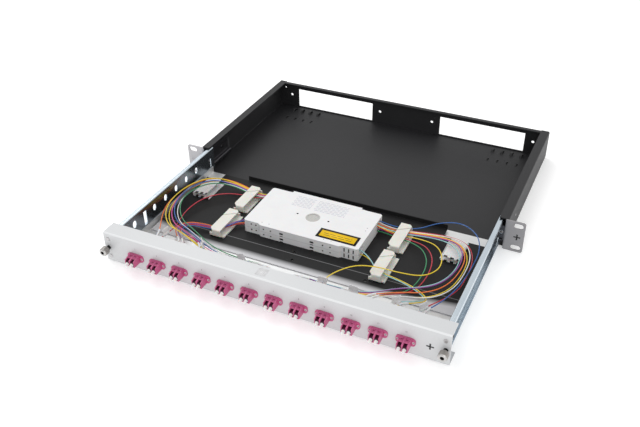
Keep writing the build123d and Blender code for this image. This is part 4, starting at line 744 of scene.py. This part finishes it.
class SPLICE_OT_finish_fittings(Operator):
    """Give the adapters, caps, plugs, guides, clamps and screws their finishes"""

    bl_idname = "splice.finish_fittings"
    bl_label = "Finish the fittings"

    def execute(self, context):
        colours = context.scene.splice_colours
        adapter = moulded("adapter_magenta", colours.adapter, 0.36, 0.03)
        x, depth, up = adapter.axes()
        half = ADAPTER_PITCH / 2000
        side = (x - ADAPTER_FIRST_X / 1000 + half).modulo(2 * half) - half
        aside, above = abs(side) - EYE_X, up - EYE_Z + ORIGIN_Z
        eye = (aside * aside + above * above < EYE_RADIUS * EYE_RADIUS) & (depth < PANEL_FACE_Y)
        front = PANEL_FACE_Y - ADAPTER_FRONT
        inner = adapter.near(abs(side), PORT_PITCH / 2000, PORT_HALF_X) & (depth > front + ADAPTER_SKIN)
        port = inner & adapter.near(up, PORT_Z / 1000 - ORIGIN_Z, PORT_HALF_Z)
        top = (up > ADAPTER_TOP_Z - ORIGIN_Z - ADAPTER_SKIN) & (depth < PANEL_FACE_Y)
        near, far = (front + back for back in LEDGE_BACKS)
        ledges = adapter.near(depth, near, LEDGE_HALF) | adapter.near(depth, far, LEDGE_HALF)
        ribs = adapter.near(abs(side), PORT_PITCH / 4000, RIB_HALF) & (depth > near) & (depth < far)
        plain = adapter.shade(adapter.noise(55.0), 0.08)
        lined = adapter.mix((top & (ledges | ribs)) * 0.75, plain, LEDGE_SHADOW)
        holed = adapter.mix(eye, lined, EYE_PALE)
        # Painted shade on the walls of the open ports, darkest in the first millimetres behind the front
        shaded_well = adapter.mix(depth > front + PORT_SHADE, *PORT_SHADE_REDS)
        adapter.paint(port, holed, shaded_well)
        dress(adapter, *[f"adapter_{i:02d}" for i in range(1, ADAPTER_COUNT + 1)])
        self.bridge_slots(front, adapter)
        cap = moulded("cap_white", (0.74, 0.73, 0.72), 0.35, 0.15)
        _, depth, _ = cap.axes()
        grip = cap.shade(cap.noise(200.0), 0.04)
        cap.paint(depth > front - CAP_LAP, grip, CAP_SHADOW)
        dress(cap, "dust_caps")
        dress(moulded("plug_white", (0.76, 0.76, 0.77), 0.4, 0.05), "pigtail_plugs")
        ivory = moulded("guide_ivory", colours.guide, 0.34, 0.25, Transmission_Weight=0.1)
        guides = [f"fibre_guide_{row}_{side}" for row in ("rear", "front") for side in ("left", "right")]
        dress(ivory, *guides)
        milky = moulded("clamp_milky", colours.clamp, 0.28, 0.25, Transmission_Weight=0.15)
        across, depth, _ = milky.axes()
        teeth = (depth < TEETH_Y) & (across.modulo(TEETH_PITCH) < TEETH_PITCH * TEETH_SHARE)
        milky.paint(teeth, milky.shade(milky.noise(55.0), 0.07), TEETH_BLACK)
        dress(milky, "cable_clamp_left", "cable_clamp_right")
        nickel = plated("screw_nickel", (0.50, 0.49, 0.48), 0.26)
        _, depth, _ = nickel.axes()
        neck = depth > SCREW_HEAD_REAR_Y - SKIN
        socket = nickel.spots([(side * SCREW_X, 0.0) for side in (-1, 1)], SCREW_RECESS_RADIUS, (0, 2))
        recess = socket & (depth < SCREW_FACE_Y + SCREW_RECESS_DEPTH)
        plain = nickel.shade(nickel.noise(300.0, 3.0), 0.3)
        nickel.paint(neck | recess, plain, SCREW_SHADOW)
        dress(nickel, "thumbscrew_left", "thumbscrew_right")
        steel = plated("retainer_steel", (0.4, 0.4, 0.4))
        dress(steel, "thumbscrew_retainer_left", "thumbscrew_retainer_right")
        return {"FINISHED"}

    @staticmethod
    def bridge_slots(front, look):
        """Small bridges with two ribs each over the rear half of the adapters' latch slots."""
        build = bmesh.new()
        for x in PORT_XS:
            middle = at(x / 1000, front + BRIDGE_BACK, ADAPTER_TOP_Z - BRIDGE_SIZE[2] / 2 - BRIDGE_SINK)
            add_block(build, middle, BRIDGE_SIZE, EDGE_BEVEL)
            for side in (-1, 1):
                rib = middle + Vector((side * BRIDGE_RIB_X, 0, BRIDGE_RIB_RISE))
                add_block(build, rib, BRIDGE_RIB_SIZE, BRIDGE_RIB_BEVEL)
        piece("port_bridges", finished(build, "port_bridges"), look)


class SPLICE_OT_knurl_screws(Operator):
    """Add the knurled rings of the captive screws"""

    bl_idname = "splice.knurl_screws"
    bl_label = "Knurl the screws"

    def execute(self, context):
        ridges = context.scene.splice_sizes.knurls
        look = plated("knurl_nickel", (0.36, 0.35, 0.34))
        for side, x in (("left", -SCREW_X), ("right", SCREW_X)):
            build = bmesh.new()
            rings = []
            for y, extra in ((KNURL_FRONT_Y, 0.0), (KNURL_FRONT_Y + KNURL_CHAMFER, KNURL_RIDGE),
                             (KNURL_REAR_Y - KNURL_CHAMFER, KNURL_RIDGE), (KNURL_REAR_Y, 0.0)):
                ring = []
                for k in range(4 * ridges):
                    radius = KNURL_RADIUS + extra * (1.0 if k % 4 in (1, 2) else KNURL_VALLEY)
                    turn = 2 * pi * k / (4 * ridges)
                    ring.append(build.verts.new(at(x + radius * cos(turn), y, ORIGIN_Z + radius * sin(turn))))
                rings.append(ring)
            join_rings(build, rings)
            mesh = finished(build, f"screw_knurl_{side}", smooth=False)
            piece(f"screw_knurl_{side}", mesh, look, f"screw_{side}")
        return {"FINISHED"}


class SPLICE_OT_print_numbers(Operator):
    """Print plain numbers above the adapters"""

    bl_idname = "splice.print_numbers"
    bl_label = "Print the port numbers"

    def execute(self, context):
        height = context.scene.splice_sizes.numeral
        build = bmesh.new()
        for number, x in enumerate(ADAPTER_XS, start=1):
            curve = bpy.data.curves.new("numeral", "FONT")
            curve.body = str(number)
            curve.size = height
            curve.align_x = "CENTER"
            curve.align_y = "CENTER"
            curve.extrude = NUMERAL_DEPTH
            text = bpy.data.objects.new("numeral", curve)
            mesh = bpy.data.meshes.new_from_object(text)
            place = at(x / 1000, PANEL_FACE_Y - FILM, NUMERAL_Z)
            mesh.transform(Matrix.Translation(place) @ Matrix.Rotation(pi / 2, 4, "X"))
            build.from_mesh(mesh)
            bpy.data.objects.remove(text)
            bpy.data.meshes.remove(mesh)
        ink = moulded("ink_grey", (0.08, 0.08, 0.09), 0.5)
        piece("port_numbers", finished(build, "port_numbers", smooth=False), ink)
        return {"FINISHED"}


class SPLICE_OT_stick_labels(Operator):
    """Stick the blank labels on the cover and the panel"""

    bl_idname = "splice.stick_labels"
    bl_label = "Stick the labels"

    def execute(self, context):
        build = bmesh.new()
        middle = at(*LABEL_CENTRE, COVER_TOP_Z / 1000 + LABEL_LIFT)
        add_block(build, middle, LABEL_SIZE, LABEL_BEVEL)
        look = moulded("label_yellow", context.scene.splice_colours.label, 0.5, Specular_IOR_Level=0.2)
        x, y, _ = look.axes()
        field = look.inside(LABEL_CENTRE, [side / 2 - LABEL_RIM for side in LABEL_SIZE[:2]])
        ground = look.shade(look.noise(120.0), 0.06)
        rows = (y - LABEL_CENTRE[1] + RULES_HALF_Y).modulo(RULE_PITCH) < RULE_WIDTH
        dashes = (x + y.modulo(2 * RULE_PITCH) * DASH_SLANT).modulo(DASH_PITCH) < DASH_LENGTH
        halves = (LABEL_SIZE[0] / 2 - RULES_INSET * LABEL_RIM, RULES_HALF_Y)
        rules = rows & dashes & look.inside(LABEL_CENTRE, halves)
        ruled = look.mix(rules * 0.8, ground, LABEL_RULE_BROWN)
        look.paint(field, LABEL_RIM_BLACK, ruled)
        piece("cover_label", finished(build, "cover_label"), look, "cassette_lid")
        build = bmesh.new()
        add_block(build, at(*PANEL_LABEL_CENTRE, PANEL_TOP_Z + FILM), PANEL_LABEL_SIZE, FILM)
        blank = moulded("label_white", (0.72, 0.72, 0.73), 0.35)
        ruling = blank.axes()[0].modulo(SIGN_PITCH) < SIGN_RULE
        sign = blank.inside(PANEL_LABEL_CENTRE, (SIGN_HALF, SIGN_HALF)) & ruling
        blank.paint(sign * 0.5, blank.shade(blank.noise(90.0), 0.04), SIGN_GREY)
        piece("panel_label", finished(build, "panel_label"), blank)
        return {"FINISHED"}


class SPLICE_OT_lay_fibres(Operator):
    """Lay the coloured fibres from the plugs to the cassettes, each with its sleeve and some with a tag"""

    bl_idname = "splice.lay_fibres"
    bl_label = "Lay the fibres"

    def execute(self, context):
        sizes = context.scene.splice_sizes
        colours = context.scene.splice_fibres
        looks = {name: self.coating(name, getattr(colours, name)) for name in set(PORT_COLOURS)}
        sleeves = moulded("sleeve_white", (0.74, 0.74, 0.75), 0.4, 0.1)
        tags = moulded("tag_white", (0.90, 0.90, 0.91), 0.45)
        x, y, z = tags.axes()
        lines = ((x + y + z).modulo(0.0016) < 0.0005) & (tags.noise(600.0, 1.0) > 0.5)
        tags.paint(lines * 0.35, tags.shade(tags.noise(60.0), 0.05), TAG_RULE_GREY)
        for index, route in enumerate(fibre_routes()):
            number = f"{index + 1:02d}"
            pair = f"{index // 2 + 1:02d}"
            start = SLEEVE_STARTS[index % len(SLEEVE_STARTS)]
            name = f"fibre_{number}"
            curve = bpy.data.curves.new(name, "CURVE")
            curve.dimensions = "3D"
            spline = curve.splines.new("NURBS")
            spline.points.add(len(route) - 1)
            for point, place in zip(spline.points, route):
                point.co = (*at_mm(*place), 1.0)
            spline.order_u = 3
            spline.use_endpoint_u = True
            curve.resolution_u = 8
            curve.use_fill_caps = True
            thing = add_object(name, curve, looks[PORT_COLOURS[index]])
            line = bpy.data.meshes.new_from_object(thing)
            path = [vertex.co.copy() for vertex in line.vertices]
            bpy.data.meshes.remove(line)
            curve.bevel_depth = sizes.fibre / 2
            curve.bevel_resolution = 2
            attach(thing, "drawer")
            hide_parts(f"pigtail_pair_{pair}")
            self.sleeve(f"sleeve_{number}", path, sizes.sleeve / 2, start, sleeves)
            if index in TAGGED:
                self.tag(f"tag_{number}", path, start + SLEEVE_LENGTH / 2, tags)
        return {"FINISHED"}

    @staticmethod
    def coating(name, colour):
        """Glossy coated fibre with slight changes of shade along it."""
        look = moulded(f"fibre_{name}", colour, 0.28, Coat_Weight=0.3)
        look.feed(Base_Color=look.shade(look.noise(90.0), 0.16))
        return look

    @staticmethod
    def along(path, distance):
        """Point and direction at a distance along a path of points."""
        for near, far in zip(path, path[1:]):
            run = (far - near).length
            if run >= distance:
                return near.lerp(far, distance / run), (far - near).normalized()
            distance -= run
        raise ValueError("the sleeve is longer than its fibre")

    def sleeve(self, name, path, radius, start, look):
        """Thin sleeve round the fibre, behind the boot, with rolled ends."""
        build = bmesh.new()
        rings = []
        for share, swell in SLEEVE_PROFILE:
            middle, ahead = self.along(path, start + share * SLEEVE_LENGTH)
            turn = ahead.to_track_quat("Z", "Y")
            ring = []
            for k in range(SLEEVE_SIDES):
                angle = 2 * pi * k / SLEEVE_SIDES
                rim = turn @ Vector((cos(angle), sin(angle), 0)) * radius * swell
                ring.append(build.verts.new(middle + rim))
            rings.append(ring)
        join_rings(build, rings)
        for ring in (rings[0], rings[-1]):
            build.faces.new(ring)
        piece(name, finished(build, name), look)

    def tag(self, name, path, distance, look):
        """Small folded paper tag that hangs on the sleeve like a flag."""
        middle, ahead = self.along(path, distance)
        turn = ahead.to_track_quat("X", "Z").to_matrix().to_4x4()
        build = bmesh.new()
        add_block(build, (0, 0, TAG_SIZE[2] / 2), TAG_SIZE, EDGE_BEVEL)
        bmesh.ops.transform(build, matrix=Matrix.Translation(middle) @ turn, verts=build.verts)
        piece(name, finished(build, name, smooth=False), look)


def floor_look():
    """Pale floor, lit a little from within so that it stays white, with a painted shadow, dark and unlit,
    under the housing's tie slots.
    """
    look = Look("floor_pale", FLOOR_WHITE, 0.75)
    look.shader.inputs["Emission Strength"].default_value = FLOOR_GLOW
    # Painted shadow under the tie slots: dark and without glow
    under = look.inside(TIES_CENTRE, TIES_HALVES)
    look.paint(under, FLOOR_WHITE, TIES_SHADOW)
    look.feed(Emission_Color=look.mix(under, (1.0, 1.0, 1.0), (0.0, 0.0, 0.0)))
    return look.feed(Roughness=look.noise(30.0) * 0.1 + 0.7)


class SPLICE_OT_build_stage(Operator):
    """Set up the pale floor, the soft light and the camera"""

    bl_idname = "splice.build_stage"
    bl_label = "Build the stage"

    def execute(self, context):
        stage = context.scene.splice_stage
        build = bmesh.new()
        bmesh.ops.create_grid(build, x_segments=2, y_segments=2, size=FLOOR_HALF)
        bmesh.ops.translate(build, vec=(0, 0, -ORIGIN_Z), verts=build.verts)
        add_object("floor", finished(build, "floor"), floor_look())
        world = bpy.data.worlds.new("surround")
        world.use_nodes = True
        sky = world.node_tree.nodes["Background"].inputs
        sky["Color"].default_value = (1.0, 1.0, 1.0, 1.0)
        sky["Strength"].default_value = stage.sky
        context.scene.world = world
        context.scene.view_settings.view_transform = "Standard"
        for name, place, size, share in LAMPS:
            light = bpy.data.lights.new(name, "AREA")
            light.size = size
            light.energy = stage.key * share
            lamp = add_object(name, light)
            lamp.location = place
            lamp.rotation_euler = (-Vector(place)).to_track_quat("-Z", "Y").to_euler()
        lens = bpy.data.cameras.new("camera")
        lens.lens = stage.lens
        lens.clip_start = CAMERA_NEAR
        camera = add_object("camera", lens)
        turn = (Matrix.Rotation(stage.azimuth, 4, "Z") @ Matrix.Rotation(pi / 2 - stage.elevation, 4, "X")
                @ Matrix.Rotation(stage.roll, 4, "Z"))
        back = Matrix.Translation((0, 0, stage.distance))
        camera.matrix_world = Matrix.Translation(at(*CAMERA_TARGET)) @ turn @ back
        context.scene.camera = camera
        return {"FINISHED"}


class SPLICE_PT_panel(Panel):
    """Lists the steps that build the splice panel"""

    bl_idname = "SPLICE_PT_panel"
    bl_label = "Splice panel"
    bl_space_type = "VIEW_3D"
    bl_region_type = "UI"
    bl_category = "Splice panel"

    def draw(self, context):
        for step in STEPS:
            self.layout.operator(step.bl_idname)
        for label in GROUPS:
            group = getattr(context.scene, label)
            for name in group.__annotations__:
                self.layout.prop(group, name)


# Stations of the loops, in millimetres: inward of the rail's web, behind the panel's face, height, and share
# of the lanes' spread. Then the loops' middles, the ports that use them and the guides that they end in
OUTER_LOOPS = {
    -1: (
        (144.5, 50.5, 12.0, 0.6), (102.5, 52.5, 13.0, 0.9), (64.5, 64.0, 22.0, 1.0), (38.5, 72.5, 21.5, 1.4),
        (19.5, 95.5, 23.5, 1.2), (12.5, 123.5, 25.0, 0.8), (16.5, 154.5, 25.0, 0.8), (31.5, 180.5, 23.5, 0.9),
        (56.5, 192.5, 18.0, 0.7),
    ),
    1: (
        (144.5, 50.5, 12.0, 0.6), (105.5, 53.0, 14.0, 0.6), (68.5, 63.0, 21.5, 1.4), (40.5, 73.0, 21.0, 2.1),
        (22.0, 94.0, 21.5, 1.7), (16.0, 125.0, 21.0, 1.1), (17.0, 156.5, 21.5, 1.0), (30.5, 180.5, 20.5, 1.1),
        (56.5, 191.5, 17.0, 0.8),
    ),
}
INNER_LOOPS = {
    -1: (
        (72.5, 63.5, 15.5, 1.0), (50.5, 66.5, 15.0, 1.0), (41.5, 79.0, 14.5, 1.0), (49.5, 92.5, 13.5, 1.0),
        (68.5, 97.5, 12.0, 0.8),
    ),
    1: (
        (75.5, 61.5, 15.5, 1.0), (52.5, 62.5, 15.0, 1.0), (37.5, 73.0, 14.5, 1.0), (52.5, 86.0, 13.5, 1.0),
        (80.5, 97.0, 12.0, 0.8),
    ),
}
OUTER_CENTRES = {-1: (84.5, 125.5), 1: (94.5, 121.5)}
INNER_CENTRES = {-1: (68.5, 80.5), 1: (68.5, 75.5)}
OUTER_PORTS = {-1: (0, 6, 7, 8, 9, 10, 11), 1: (22, 17, 16, 14, 13, 12)}
INNER_PORTS = {-1: (2, 3, 4, 5), 1: (21, 20)}
REAR_CLIP_BACKS = {-1: 191.0, 1: 189.0}
FRONT_CLIP_BACKS = {-1: 99.0, 1: 101.0}

# Fibres with a route of their own: port, side, guide behind the face, place in the entry, stations
SINGLE_ROUTES = (
    (1, -1, 181.0, -6.0, (
        (38.5, 73.5, 15.0), (30.5, 95.5, 11.0), (28.5, 119.5, 14.0), (35.5, 147.5, 16.0), (54.5, 170.5, 15.0),
        (80.5, 180.5, 12.3),
    )),
    (15, 1, 181.0, -5.2, (
        (150.5, 69.0, 21.0), (133.5, 90.0, 22.0), (110.5, 99.5, 20.5), (84.5, 99.5, 20.5),
        (54.5, 103.0, 21.0), (40.5, 122.5, 21.5), (44.5, 148.5, 20.5), (58.5, 170.5, 18.5),
        (82.5, 181.0, 13.5),
    )),
    (18, 1, 173.5, -5.7, (
        (82.5, 65.5, 15.5), (66.5, 80.0, 10.5), (58.5, 103.5, 12.0), (57.5, 131.5, 18.0), (70.5, 156.5, 16.5),
        (88.5, 170.5, 12.5),
    )),
    (19, 1, 177.0, -6.4, (
        (75.5, 68.0, 15.0), (58.5, 86.0, 10.0), (51.5, 112.5, 13.5), (53.5, 141.5, 18.0), (68.5, 164.5, 16.5),
        (87.5, 174.5, 12.5),
    )),
    (23, 1, 197.0, 6.0, (
        (19.5, 71.5, 22.0), (9.5, 101.5, 25.0), (6.5, 138.5, 24.5), (6.5, 173.5, 25.0), (17.5, 202.5, 26.0),
        (42.5, 218.5, 26.0), (70.5, 213.5, 21.0), (90.5, 201.0, 14.0),
    )),
)

# Front strip of the loops, in millimetres: where it ends behind the face, from where inward its lanes lie one
# in front of the other, and how far past its port a fibre joins it
STRIP_BACK = 91.5
STRIP_INWARD = 86.5
LEAST_REACH = 9.0

# Lanes of a loop, in millimetres: pitch, lift of each, and the least height at which they are lifted
LANE_PITCH = 3.0
LANE_LIFTS = (0.0, 2.6, -1.4, 1.2, 3.4, -0.4, 2.0)
LIFT_LEAST_Z = 18.0

# Ends of a fibre, in millimetres: run behind its boot, lanes and height in the guides, and lanes, run and
# depth at the cassette's entry
BOOT_RUN = 9.0
CLIP_PITCH = 1.5
CLIP_Z = 11.5
ENTRY_PITCH = 1.5
ENTRY_RUN_IN = 9.0
ENTRY_DEPTH = 3.0


def station(side, inward, back, z=0):
    """Point of a route, from its distances to the rail's web and to the panel's face."""
    return (side * (RAIL_WEB_X - inward), FACE_MM + back, z)


def first_points(port_x):
    """First two points of a fibre: at the end of its boot and straight behind it."""
    return [(port_x, BOOT_END_Y, PORT_Z), (port_x, BOOT_END_Y + BOOT_RUN, PORT_Z)]


def last_points(side, clip_y, entry_y, level):
    """Last three points of a fibre: in its guide, before its cassette entry and just inside it."""
    wall_x = CASSETTE_X + side * CASSETTE_WIDTH / 2
    entry_z = TRAY_Z[level] + CASSETTE_WALL + ENTRY_HEIGHT / 2
    return [(CLIP_XS[side], clip_y, CLIP_Z),
            (wall_x + side * ENTRY_RUN_IN, entry_y, (entry_z + CLIP_Z) / 2),
            (wall_x - side * ENTRY_DEPTH, entry_y, entry_z)]


def lane_points(port_x, side, stations, centre, lane, lanes):
    """Points of one fibre along its lane of a loop."""
    spread = ((lanes - 1) / 2 - lane) * LANE_PITCH
    middle = Vector(station(side, *centre))
    points = []
    for inward, back, z, share in stations:
        x, y, z = station(side, inward, back, z)
        if back < STRIP_BACK and side * (x - port_x) < LEAST_REACH:
            continue
        outward = Vector((0, -1)) if inward > STRIP_INWARD else (Vector((x, y)) - middle.xy).normalized()
        shift = outward * spread * share
        lift = LANE_LIFTS[lane] if z > LIFT_LEAST_Z else 0
        points.append((x + shift.x, y + shift.y, z + lift))
    return points


def fibre_routes():
    """Routes of all fibres in millimetres, in the order of the ports from left to right."""
    reach = CASSETTE_DEPTH / 2 - ENTRY_INSET - ENTRY_WIDTH / 2
    families = (
        (OUTER_PORTS, OUTER_LOOPS, OUTER_CENTRES, REAR_CLIP_BACKS, CASSETTE_Y + reach),
        (INNER_PORTS, INNER_LOOPS, INNER_CENTRES, FRONT_CLIP_BACKS, CASSETTE_Y - reach),
    )
    routes = {}
    for ports, loops, centres, clips, entry_y in families:
        for side in (-1, 1):
            lanes = len(ports[side])
            for lane, port in enumerate(ports[side]):
                offset = (lanes - 1) / 2 - lane
                middle = lane_points(PORT_XS[port], side, loops[side], centres[side], lane, lanes)
                clip_y = FACE_MM + clips[side] + offset * CLIP_PITCH
                end = last_points(side, clip_y, entry_y + offset * ENTRY_PITCH, lane % 2)
                routes[port] = first_points(PORT_XS[port]) + middle + end
    for port, side, clip_back, slot, stations in SINGLE_ROUTES:
        middle = [station(side, *place) for place in stations]
        end = last_points(side, FACE_MM + clip_back, CASSETTE_Y + reach + slot, port % 2)
        routes[port] = first_points(PORT_XS[port]) + middle + end
    return [routes[port] for port in sorted(routes)]


STEPS = (
    SPLICE_OT_build_stage,
    SPLICE_OT_lay_fibres,
    SPLICE_OT_finish_housing,
    SPLICE_OT_finish_drawer,
    SPLICE_OT_finish_cassettes,
    SPLICE_OT_finish_fittings,
    SPLICE_OT_knurl_screws,
    SPLICE_OT_print_numbers,
    SPLICE_OT_stick_labels,
)
GROUPS = {
    "splice_colours": PanelColours,
    "splice_fibres": FibreColours,
    "splice_sizes": PieceSizes,
    "splice_stage": StageSettings,
}


def register():
    for item in (*GROUPS.values(), *STEPS, SPLICE_PT_panel):
        bpy.utils.register_class(item)
    for name, group in GROUPS.items():
        setattr(bpy.types.Scene, name, PointerProperty(type=group))


def unregister():
    for name in GROUPS:
        delattr(bpy.types.Scene, name)
    for item in (SPLICE_PT_panel, *reversed(STEPS), *reversed(GROUPS.values())):
        bpy.utils.unregister_class(item)


def main():
    """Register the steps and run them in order."""
    register()
    for step in STEPS:
        area, name = step.bl_idname.split(".")
        getattr(getattr(bpy.ops, area), name)()


if __name__ == "__main__":
    main()
